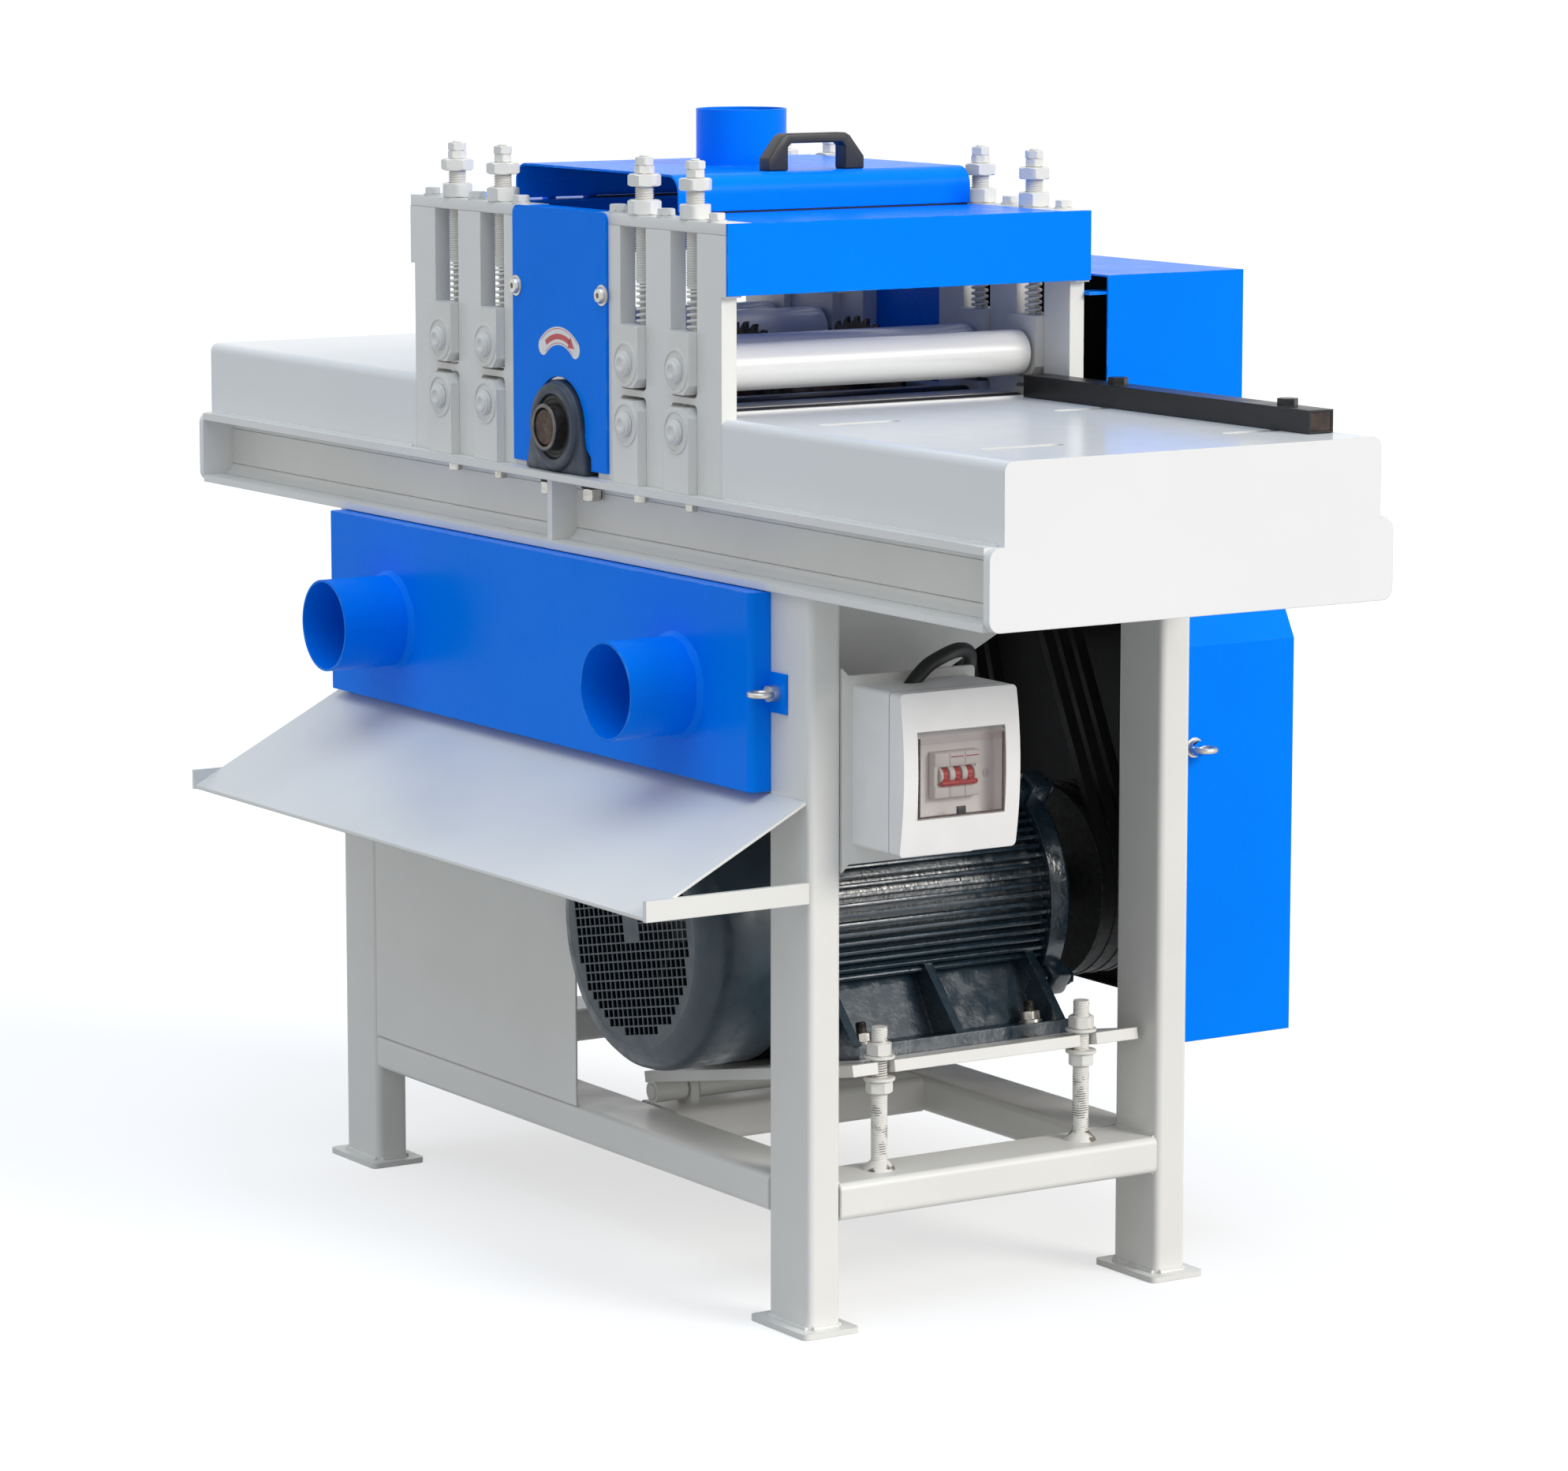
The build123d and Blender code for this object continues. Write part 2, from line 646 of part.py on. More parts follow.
# Side channels with a rib in each, and the folded tables with their end plates
def side_channel():
    out, low, high = CHANNEL_OUT, CHANNEL_BOTTOM, CHANNEL_TOP
    back = out - CHANNEL_FLANGE
    web = back + CHANNEL_WEB
    outline = shape((back, low), (out, low), (out, low + CHANNEL_LIP), (web, low + CHANNEL_LIP),
                    (web, high - CHANNEL_LIP), (out, high - CHANNEL_LIP), (out, high), (back, high))
    half = TABLE_LENGTH / 2 - END_PLATE
    channel = slab_x(outline, -half, half)
    rib = box(CHANNEL_RIB_X - CHANNEL_RIB / 2, CHANNEL_RIB_X + CHANNEL_RIB / 2, web, out - CHANNEL_RIB_INSET,
              low + CHANNEL_LIP, high - CHANNEL_LIP)
    under = high - CHANNEL_LIP
    bearing_y = BEARING_BLOCK_OUT - BEARING_BLOCK_DEPTH / 2
    spots = [(x, bearing_y, BEARING_BOLT) for x in (-BEARING_BOLT_X, BEARING_BOLT_X)]
    spots += [(x, HEAD_OUT - HEAD_PLATE / 2, BLOCK_BOLT) for x in ROLLER_ROWS]
    holes = [round_z(x, y, under, high, bolt + 2 * RUN) for x, y, bolt in spots]
    return channel + rib - holes


def end_plate():
    outline = Pos(0, (CHANNEL_TOP + CHANNEL_BOTTOM) / 2) * Rectangle(CHANNEL_SPAN, CHANNEL_HEIGHT)
    outline = fillet(outline.vertices(), END_PLATE_CORNER)
    upper = Pos(0, (TABLE_HEIGHT + CHANNEL_TOP - END_PLATE_CORNER) / 2) * Rectangle(
        TABLE_WIDTH, TABLE_SKIRT + END_PLATE_CORNER)
    upper = fillet(upper.vertices().group_by(Axis.Y)[-1], TABLE_BEND)
    end = TABLE_LENGTH / 2
    return slab_x(outline + upper, end - END_PLATE, end)


def folded_table():
    middle = (TABLE_HEIGHT + CHANNEL_TOP) / 2
    outer = Pos(0, middle) * Rectangle(TABLE_WIDTH, TABLE_SKIRT)
    outer = fillet(outer.vertices().group_by(Axis.Y)[-1], TABLE_BEND)
    inner = Pos(0, middle - TABLE_SHEET) * Rectangle(TABLE_WIDTH - 2 * TABLE_SHEET, TABLE_SKIRT)
    inner = fillet(inner.vertices().group_by(Axis.Y)[-1], TABLE_BEND - TABLE_SHEET)
    return slab_x(outer - inner, HEAD_END, TABLE_LENGTH / 2 - END_PLATE) + end_plate()


def fence_slot(x, y):
    width = FENCE_BOLT + 2 * FENCE_WALL
    slot = Pos(x, y) * Rot(0, 0, 90) * SlotOverall(FENCE_SLOT_RUN + width, width)
    return slab_z(slot, TABLE_HEIGHT - TABLE_SHEET, TABLE_HEIGHT)


FENCE_SLOT_FAR_Y = FENCE_Y - FENCE_TRAVEL / 2
FENCE_SLOT_YS = (FENCE_SLOT_NEAR_Y, FENCE_SLOT_FAR_Y)
slots = [fence_slot(x, y) for x in (FENCE_NEAR_BOLT, FENCE_FAR_BOLT) for y in FENCE_SLOT_YS]
save("side_channels", *both_sides(side_channel()))
save("infeed_table", folded_table() - slots)
save("outfeed_table", folded_table().mirror(Plane.YZ))


# Bed strips beside the rollers, with a low lip at the mouth and a window for the blades
def bed_strip(x0, x1):
    return box(x0, x1, -HEAD_IN, HEAD_IN, TABLE_HEIGHT - BED_THICKNESS, TABLE_HEIGHT)


outer_edge = OUTER_ROLLER_X + BED_OPENING / 2
mouth = bed_strip(outer_edge, HEAD_END)
mouth += box(outer_edge, outer_edge + BED_LIP, -BED_LIP_LENGTH / 2, BED_LIP_LENGTH / 2,
             TABLE_HEIGHT, TABLE_HEIGHT + BED_LIP_RISE)
between = bed_strip(INNER_ROLLER_X + BED_OPENING / 2, OUTER_ROLLER_X - BED_OPENING / 2)
inner_edge = INNER_ROLLER_X - BED_OPENING / 2
window = box(-BLADE_WINDOW_X / 2, BLADE_WINDOW_X / 2, -BLADE_WINDOW_Y / 2, BLADE_WINDOW_Y / 2,
             TABLE_HEIGHT - BED_THICKNESS, TABLE_HEIGHT)
bearing_notch = BEARING_BLOCK_RADIUS + BEARING_ARCH_GAP
window += box(-bearing_notch, bearing_notch, -HEAD_IN, HEAD_IN, TABLE_HEIGHT - BED_THICKNESS, TABLE_HEIGHT)
save("bed_plates", *both_ends(mouth), *both_ends(between), bed_strip(-inner_edge, inner_edge) - window)


# Head side plates with slots for the roller blocks, and the cap bars that close the slots
def head_plate():
    start = BAY_WIDTH / 2
    middle = Pos((start + HEAD_END) / 2, (CHANNEL_TOP + PLATE_TOP) / 2)
    plate = middle * Rectangle(HEAD_END - start, HEAD_PLATE_RISE)
    plate += Pos((start + EAR_END) / 2, PLATE_TOP - EAR_HEIGHT / 2) * Rectangle(EAR_END - start, EAR_HEIGHT)
    for x in (INNER_ROLLER_X, OUTER_ROLLER_X):
        upper = Pos(x, PLATE_TOP - UPPER_SLOT_DEPTH / 2) * Rectangle(SLOT_WIDTH, UPPER_SLOT_DEPTH)
        lower = Pos(x, CHANNEL_TOP + LOWER_SLOT_DEPTH / 2) * Rectangle(SLOT_WIDTH, LOWER_SLOT_DEPTH)
        plate -= fillet(upper.vertices().group_by(Axis.Y)[0], SLOT_CORNER)
        plate -= fillet(lower.vertices().group_by(Axis.Y)[-1], SLOT_CORNER)
    return slab_y(plate, HEAD_IN, HEAD_OUT)


CAP_START = HEAD_END - CAP_LENGTH
CAP_BOLT_Y = HEAD_OUT - CAP_BOLT_INSET
CAP_MIDDLE = (INNER_ROLLER_X + OUTER_ROLLER_X) / 2
CAP_BOLT_XS = (CAP_START + CAP_BOLT_END - SEAT, CAP_MIDDLE, HEAD_END - CAP_BOLT_END)


def cap_bar():
    bar = box(CAP_START, HEAD_END, HEAD_OUT - CAP_WIDTH, HEAD_OUT, PLATE_TOP, HEAD_TOP)
    for x in (INNER_ROLLER_X, OUTER_ROLLER_X):
        bar += slab_z(Pos(x, ADJUSTER_Y) * hexagon(CAP_NUT_AF), HEAD_TOP, HEAD_TOP + CAP_NUT)
        bar -= round_z(x, ADJUSTER_Y, PLATE_TOP, HEAD_TOP + CAP_NUT, SCREW + 2 * GAP)
    bar -= [round_z(x, CAP_BOLT_Y, PLATE_TOP, HEAD_TOP, CAP_BOLT) for x in CAP_BOLT_XS]
    return bar


def cap_bolt(x):
    shank = round_z(x, CAP_BOLT_Y, PLATE_TOP, HEAD_TOP, CAP_BOLT)
    washer = round_z(x, CAP_BOLT_Y, HEAD_TOP, HEAD_TOP + WASHER, CAP_BOLT_AF + 2 * WASHER)
    seat = HEAD_TOP + WASHER
    return shank + washer + slab_z(Pos(x, CAP_BOLT_Y) * hexagon(CAP_BOLT_AF), seat, seat + CAP_BOLT_HEAD)


save("head_side_plates", *four_corners(head_plate()))
save("cap_bars", *four_corners(cap_bar()))
save("cap_bolts", *[bolt for x in CAP_BOLT_XS for bolt in four_corners(cap_bolt(x))])


# Infeed cover over the ears of the head plates, outfeed cover between them with the hood hinge on it
def roller_cover(face, front_half):
    front = box(face - COVER_SHEET, face, -front_half, front_half, HEAD_TOP - COVER_DROP, HEAD_TOP)
    half = HEAD_OUT - CAP_WIDTH - COVER_TOP_SIDE
    top_end = COVER_FACE - COVER_TOP_REACH
    return front + box(top_end, face, -half, half, HEAD_TOP - COVER_SHEET, HEAD_TOP)


HOOD_HINGE_X = -HOOD_WIDTH / 2 - HOOD_KNUCKLE / 2
HOOD_HINGE_Z = HOOD_BOTTOM + HOOD_KNUCKLE / 2


def hood_hinge_seat(y):
    gap = HOOD_KNUCKLE_LENGTH / 2 + GAP
    width = HOOD_KNUCKLE - 2 * GAP
    post = Pos(HOOD_HINGE_X, HOOD_HINGE_Z) * Circle(width / 2)
    post += Pos(HOOD_HINGE_X, (HEAD_TOP + HOOD_HINGE_Z) / 2) * Rectangle(width, HOOD_HINGE_Z - HEAD_TOP)
    lugs = slab_y(post, y - gap - HINGE_LUG, y - gap) + slab_y(post, y + gap, y + gap + HINGE_LUG)
    return lugs + round_y(HOOD_HINGE_X, HOOD_HINGE_Z, y - gap, y + gap, HOOD_PIN)


hinge_seats = [hood_hinge_seat(y) for y in (-HOOD_KNUCKLE_Y, HOOD_KNUCKLE_Y)]
outfeed_cover = roller_cover(EAR_END, HEAD_IN).mirror(Plane.YZ) + hinge_seats


# Arbor bearing blocks on the channel flanges, with their bolts from below
def bearing_outline():
    half = BEARING_BLOCK_WIDTH / 2
    shoulder = CHANNEL_TOP + BEARING_BLOCK_FOOT
    lean = math.radians(BEARING_LEAN)
    waist = BEARING_BLOCK_RADIUS * math.cos(lean)
    waist_z = ARBOR_AXIS - BEARING_BLOCK_RADIUS * math.sin(lean)
    outline = Pos(0, ARBOR_AXIS) * Circle(BEARING_BLOCK_RADIUS)
    outline += Pos(0, CHANNEL_TOP + BEARING_BLOCK_FOOT / 2) * Rectangle(2 * half, BEARING_BLOCK_FOOT)
    return outline + shape((-half, shoulder), (half, shoulder), (waist, waist_z), (-waist, waist_z))


def bearing_block():
    y0, y1 = BEARING_BLOCK_OUT - BEARING_BLOCK_DEPTH, BEARING_BLOCK_OUT
    block = slab_y(bearing_outline(), y0, y1)
    block -= round_y(0, ARBOR_AXIS, y1 - BEARING_INSERT_DEPTH, y1, BEARING_INSERT)
    block -= round_y(0, ARBOR_AXIS, y0, y1, ARBOR + 2 * RUN)
    for x in (-BEARING_BOLT_X, BEARING_BOLT_X):
        foot_top = CHANNEL_TOP + BEARING_BLOCK_FOOT
        block -= round_z(x, (y0 + y1) / 2, CHANNEL_TOP, foot_top, BEARING_BOLT + 2 * RUN)
    return block


def bearing_bolt():
    y = BEARING_BLOCK_OUT - BEARING_BLOCK_DEPTH / 2
    under = CHANNEL_TOP - CHANNEL_LIP
    head = slab_z(Pos(BEARING_BOLT_X, y) * hexagon(BEARING_BOLT_AF), under - BEARING_BOLT_HEAD, under)
    return head + round_z(BEARING_BOLT_X, y, under, CHANNEL_TOP + BEARING_BLOCK_FOOT, BEARING_BOLT)


def block_bolt(x):
    y = HEAD_OUT - HEAD_PLATE / 2
    under = CHANNEL_TOP - CHANNEL_LIP
    head = slab_z(Pos(x, y) * hexagon(BLOCK_BOLT_AF), under - BLOCK_BOLT_HEAD, under)
    return head + round_z(x, y, under, CHANNEL_TOP + BLOCK_BOLT_GRIP, BLOCK_BOLT)


block_bolts = [bolt for x in ROLLER_ROWS for bolt in both_sides(block_bolt(x))]
save("arbor_bearing_blocks", *both_sides(bearing_block()))


# Bay covers: an arch over each arbor bearing, a top flange between the cap bars, four button screws
def bay_cover():
    bottom = CHANNEL_TOP + BAY_COVER_RAISE
    sheet = Pos(0, (bottom + HEAD_TOP) / 2) * Rectangle(BAY_COVER_WIDTH, HEAD_TOP - bottom)
    sheet = fillet(sheet.vertices().group_by(Axis.Y)[-1], TABLE_BEND)
    sheet -= offset(bearing_outline(), BEARING_ARCH_GAP)
    sheet -= [Pos(x, COVER_SCREW_Z) * Circle(COVER_SCREW / 2) for x in (-COVER_SCREW_X, COVER_SCREW_X)]
    cover = slab_y(sheet, HEAD_OUT, HEAD_OUT + COVER_SHEET)
    half = CAP_START - COVER_TOP_SIDE
    return cover + box(-half, half, HEAD_OUT - BAY_FLANGE, HEAD_OUT, HEAD_TOP - COVER_SHEET, HEAD_TOP)


def cover_screw(x):
    face = HEAD_OUT + COVER_SHEET
    head = round_y(x, COVER_SCREW_Z, face, face + COVER_SCREW_RISE, COVER_SCREW_HEAD)
    head = fillet(head.edges().group_by(Axis.Y)[-1], COVER_SCREW_ROUND)
    socket = slab_y(Pos(x, COVER_SCREW_Z) * hexagon(COVER_SCREW_SOCKET), face + SEAT, face + COVER_SCREW_RISE)
    return head - socket + round_y(x, COVER_SCREW_Z, HEAD_OUT, face, COVER_SCREW)


cover_screws = four_corners(cover_screw(COVER_SCREW_X))
save("head_covers", roller_cover(COVER_FACE, HEAD_OUT), outfeed_cover, *both_sides(bay_cover()))
save("frame_screws", *four_corners(bearing_bolt()), *block_bolts, *cover_screws)


# Roller blocks: plain blocks in the slots, standing proud of the plates on both faces
def roller_block(x, axis, bottom, top, cut_low):
    half = SLOT_WIDTH / 2 - GAP
    outline = Pos(x, (bottom + top) / 2) * Rectangle(2 * half, top - bottom)
    corners = outline.vertices().group_by(Axis.Y)[0 if cut_low else -1]
    outline = chamfer(corners, BLOCK_CORNER)
    block = slab_y(outline - Pos(x, axis) * Circle(JOURNAL / 2 + RUN), BLOCK_IN, BLOCK_OUT)
    ring = Circle(BEARING_RING / 2) - Circle(BEARING_RING / 2 - BEARING_GROOVE)
    return block - slab_y(Pos(x, axis) * ring, BLOCK_OUT - BEARING_GROOVE, BLOCK_OUT)


def roller(x, axis, diameter, far_end, far_hub):
    half = ROLLER_LENGTH / 2
    body = chamfer(round_y(x, axis, -half, half, diameter).edges().filter_by(GeomType.CIRCLE), SEAT)
    hub_start = BLOCK_OUT + GAP
    body += round_y(x, axis, -hub_start, far_end, JOURNAL)
    hub = round_y(x, axis, hub_start, hub_start + JOURNAL_HUB_LENGTH, JOURNAL_HUB)
    hub = chamfer(hub.edges().group_by(Axis.Y)[-1], SEAT / 2)
    body += hub.mirror(Plane.XZ)
    if far_hub:
        body += hub
        body -= round_y(x, axis, far_end + SEAT, hub_start + JOURNAL_HUB_LENGTH, HUB_CENTRE)
    return body - round_y(x, axis, -hub_start - JOURNAL_HUB_LENGTH, -hub_start - SEAT, HUB_CENTRE)


def sprocket(x, z, bore):
    y0 = SPROCKET_Y - SPROCKET_WIDTH / 2
    disc = round_y(x, z, y0, y0 + SPROCKET_WIDTH, SPROCKET)
    return disc - round_y(x, z, y0, y0 + SPROCKET_WIDTH, bore)


def lower_block(x):
    block = roller_block(x, LOWER_AXIS, CHANNEL_TOP, CHANNEL_TOP + LOWER_BLOCK, False)
    return block - round_z(x, HEAD_OUT - HEAD_PLATE / 2, CHANNEL_TOP, CHANNEL_TOP + BLOCK_BOLT_GRIP,
                           BLOCK_BOLT + 2 * RUN)


lower_blocks = [lower_block(x) for x in ROLLER_ROWS]
save("lower_bearing_blocks", *[piece for block in lower_blocks for piece in both_sides(block)])
for row, row_x in enumerate(ROLLER_ROWS, 1):
    sprocket_end = SPROCKET_Y + SPROCKET_WIDTH / 2
    save(f"lower_roller_{row}", roller(row_x, LOWER_AXIS, LOWER_ROLLER, sprocket_end, False),
         sprocket(row_x, LOWER_AXIS, JOURNAL))
    save(f"upper_roller_{row}", roller(row_x, UPPER_AXIS, UPPER_ROLLER, BLOCK_OUT + GAP, True))


# Height adjusters: hollow screws in the cap nuts, lift rods with double nuts, springs on the blocks
def adjusting_screw(x):
    screw = round_z(x, ADJUSTER_Y, SCREW_BOTTOM, SCREW_TOP, SCREW)
    screw += slab_z(Pos(x, ADJUSTER_Y) * hexagon(SCREW_HEAD_AF), SCREW_TOP, SCREW_TOP + SCREW_HEAD)
    return screw - round_z(x, ADJUSTER_Y, SCREW_BOTTOM, SCREW_TOP + SCREW_HEAD, SCREW_BORE)


def carriage_block(x):
    bottom = UPPER_AXIS - UPPER_BLOCK_BELOW
    block = roller_block(x, UPPER_AXIS, bottom, BLOCK_TOP, True)
    nut_low = SCREW_TOP + SCREW_HEAD + GAP
    nuts = slab_z(Pos(x, ADJUSTER_Y) * hexagon(ROD_NUT_AF), nut_low, nut_low + ROD_NUT)
    turned = Pos(x, ADJUSTER_Y) * Rot(0, 0, ROD_NUT_TURN) * hexagon(ROD_NUT_AF)
    nuts += slab_z(turned, nut_low + ROD_NUT, nut_low + 2 * ROD_NUT)
    return block + nuts + round_z(x, ADJUSTER_Y, BLOCK_TOP, nut_low + 2 * ROD_NUT + SEAT, ROD)


def biarc(start, start_dir, end, end_dir):
    v = end - start
    t = start_dir + end_dir
    spread = 2 * (1 - start_dir.dot(end_dir))
    d = (-v.dot(t) + math.sqrt(v.dot(t) ** 2 + spread * v.dot(v))) / spread
    middle = (start + end + (start_dir - end_dir) * d) * 0.5
    first = Edge.make_tangent_arc(start, start_dir, middle)
    return [first, Edge.make_tangent_arc(middle, first % 1, end)]


def spring_path():
    low = SPRING_WIRE + SPRING_BEND
    rise = SPRING_HEIGHT - 2 * low
    along, up = Vector(0, 1, 0), Vector(0, 0, 1)
    halves = 2 * SPRING_TURNS
    slope = rise / (SPRING_TURNS * 2 * math.pi * SPRING_RADIUS)
    points, tangents = [], []
    for k in range(halves + 1):
        side = 1 if k % 2 == 0 else -1
        points.append(Vector(side * SPRING_RADIUS, 0, low + rise * k / halves))
        level = 0 if k in (0, halves) else slope
        tangents.append(Vector(0, side, level).normalized())
    foot_point = Vector(SPRING_RADIUS, -SPRING_BEND, 0)
    foot_bend = Vector(SPRING_RADIUS, -SPRING_BEND, SPRING_WIRE)
    edges = [Edge.make_line(foot_point, foot_bend), Edge.make_tangent_arc(foot_bend, up, points[0])]
    for k in range(halves):
        edges += biarc(points[k], tangents[k], points[k + 1], tangents[k + 1])
    head_bend = Vector(SPRING_RADIUS, SPRING_BEND, SPRING_HEIGHT - SPRING_WIRE)
    edges.append(Edge.make_tangent_arc(points[-1], along, head_bend))
    edges.append(Edge.make_line(head_bend, head_bend + up * SPRING_WIRE))
    return Wire(edges)


def least_gap(path, wire):
    count = SPRING_SAMPLES * SPRING_TURNS
    points = [path @ (k / count) for k in range(count + 1)]
    apart = math.ceil(2 * math.pi * wire / (path.length / count))
    spans = [(points[i] - points[j]).length for i in range(count + 1) for j in range(i + apart, count + 1)]
    return min(spans) - wire


coil_line = spring_path()
coil_start = Plane(origin=coil_line @ 0, z_dir=coil_line % 0)
coil = sweep(coil_start * Circle(SPRING_WIRE / 2), path=coil_line)
print(f"spring: least gap to itself {least_gap(coil_line, SPRING_WIRE):.2f} mm, volume {coil.volume:.0f}, "
      f"section times length {math.pi * SPRING_WIRE ** 2 / 4 * coil_line.length:.0f}")
for row, row_x in enumerate(ROLLER_ROWS, 1):
    save(f"adjusting_screws_{row}", *both_sides(adjusting_screw(row_x)))
    save(f"carriage_{row}", *both_sides(carriage_block(row_x)))
    save(f"carriage_springs_{row}", *[Pos(row_x, y, BLOCK_TOP) * coil for y in (-ADJUSTER_Y, ADJUSTER_Y)])


# Dust hood: a folded sheet with a round outlet, hinge knuckles at its rear edge, a bridge handle
def hood_shell():
    middle = (HOOD_BOTTOM + HOOD_TOP) / 2
    outer = Pos(0, middle) * Rectangle(HOOD_WIDTH, HOOD_HEIGHT)
    outer = fillet(outer.vertices().group_by(Axis.Y)[-1], HOOD_BEND)
    inner = Pos(0, middle - HOOD_SHEET) * Rectangle(HOOD_WIDTH - 2 * HOOD_SHEET, HOOD_HEIGHT)
    inner = fillet(inner.vertices().group_by(Axis.Y)[-1], HOOD_BEND - HOOD_SHEET)
    hood = slab_y(outer - inner, -HOOD_LENGTH / 2, HOOD_LENGTH / 2)
    bore = HOOD_OUTLET - 2 * HOOD_SHEET
    hood += round_z(0, 0, HOOD_TOP - HOOD_SHEET, HOOD_TOP + HOOD_OUTLET_RISE, HOOD_OUTLET)
    hood -= round_z(0, 0, HOOD_TOP - HOOD_SHEET, HOOD_TOP + HOOD_OUTLET_RISE, bore)
    for y in (-HOOD_KNUCKLE_Y, HOOD_KNUCKLE_Y):
        knuckle = Pos(HOOD_HINGE_X, HOOD_HINGE_Z) * Circle(HOOD_KNUCKLE / 2)
        tongue = Rectangle(HOOD_KNUCKLE / 2, HOOD_KNUCKLE)
        knuckle += Pos(HOOD_HINGE_X + HOOD_KNUCKLE / 4, HOOD_HINGE_Z) * tongue
        knuckle -= Pos(HOOD_HINGE_X, HOOD_HINGE_Z) * Circle(HOOD_PIN / 2 + RUN)
        hood += slab_y(knuckle, y - HOOD_KNUCKLE_LENGTH / 2, y + HOOD_KNUCKLE_LENGTH / 2)
    return hood


def hood_handle():
    middle = HOOD_TOP + HANDLE_RISE / 2
    outer = Pos(0, middle) * Rectangle(HANDLE_LENGTH, HANDLE_RISE)
    outer = fillet(outer.vertices().group_by(Axis.Y)[-1], HANDLE_CORNER + HANDLE_GRIP / 2)
    inside = HANDLE_LENGTH - 2 * HANDLE_FOOT
    inner = Pos(0, middle - HANDLE_GRIP) * Rectangle(inside, HANDLE_RISE)
    inner = fillet(inner.vertices().group_by(Axis.Y)[-1], HANDLE_CORNER)
    return slab_x(outer - inner, HANDLE_X - HANDLE_WIDTH / 2, HANDLE_X + HANDLE_WIDTH / 2)


save("hood_shell", hood_shell())
save("hood_handle", hood_handle())


# Arbor with three toothed blades between sleeves, and the grooved pulley
def blade_outline():
    tip, root = BLADE / 2, BLADE / 2 - BLADE_TOOTH
    step = 2 * math.pi / BLADE_TEETH
    tooth = ((tip, 0), (tip - TOOTH_FALL, TOOTH_BACK), (root, TOOTH_FOOT), (root, TOOTH_END))
    points = []
    for k in range(BLADE_TEETH):
        for radius, share in tooth:
            angle = (k + share) * step
            points.append((radius * math.cos(angle), radius * math.sin(angle)))
    return shape(*points) - Circle(ARBOR / 2)


def grooved_pulley(x, z, diameter, bore):
    pulley = round_y(x, z, PULLEY_START, PULLEY_START + PULLEY_WIDTH, diameter)
    floor = diameter / 2 - BELT_BELOW_RIM - BELT_DEPTH - GAP
    groove = Circle(diameter / 2) - Circle(floor)
    for y in BELT_LINES:
        half = BELT_WIDTH / 2 + GAP
        pulley -= slab_y(Pos(x, z) * groove, y - half, y + half)
    return pulley - round_y(x, z, PULLEY_START, PULLEY_START + PULLEY_WIDTH, bore)


BELT_MIDDLE = PULLEY_START + PULLEY_WIDTH / 2
BELT_LINES = [BELT_MIDDLE + BELT_PITCH * (k - (BELT_COUNT - 1) / 2) for k in range(BELT_COUNT)]
BLADE_LINES = [BLADE_FIRST_Y + BLADE_PITCH * k for k in range(BLADE_COUNT)]
blade = Pos(0, ARBOR_AXIS) * blade_outline()
blades = [slab_y(blade, y - BLADE_PLATE / 2, y + BLADE_PLATE / 2) for y in BLADE_LINES]
sleeve = Pos(0, ARBOR_AXIS) * (Circle(SPACER / 2) - Circle(ARBOR / 2))
sleeve_ends = [-BLADE_WINDOW_Y / 2 + SPACER_END] + BLADE_LINES + [BLADE_WINDOW_Y / 2 - SPACER_END]
sleeves = []
for k in range(BLADE_COUNT + 1):
    from_y = sleeve_ends[k] + (BLADE_PLATE / 2 if k > 0 else 0)
    to_y = sleeve_ends[k + 1] - (BLADE_PLATE / 2 if k < BLADE_COUNT else 0)
    sleeves.append(slab_y(sleeve, from_y, to_y))
arbor = round_y(0, ARBOR_AXIS, ARBOR_NEAR_END, PULLEY_START + PULLEY_WIDTH, ARBOR)
save("arbor_shaft", chamfer(arbor.edges().filter_by(GeomType.CIRCLE), SEAT), *sleeves)
save("saw_blades", *blades)
save("arbor_pulley", grooved_pulley(0, ARBOR_AXIS, ARBOR_PULLEY, ARBOR))


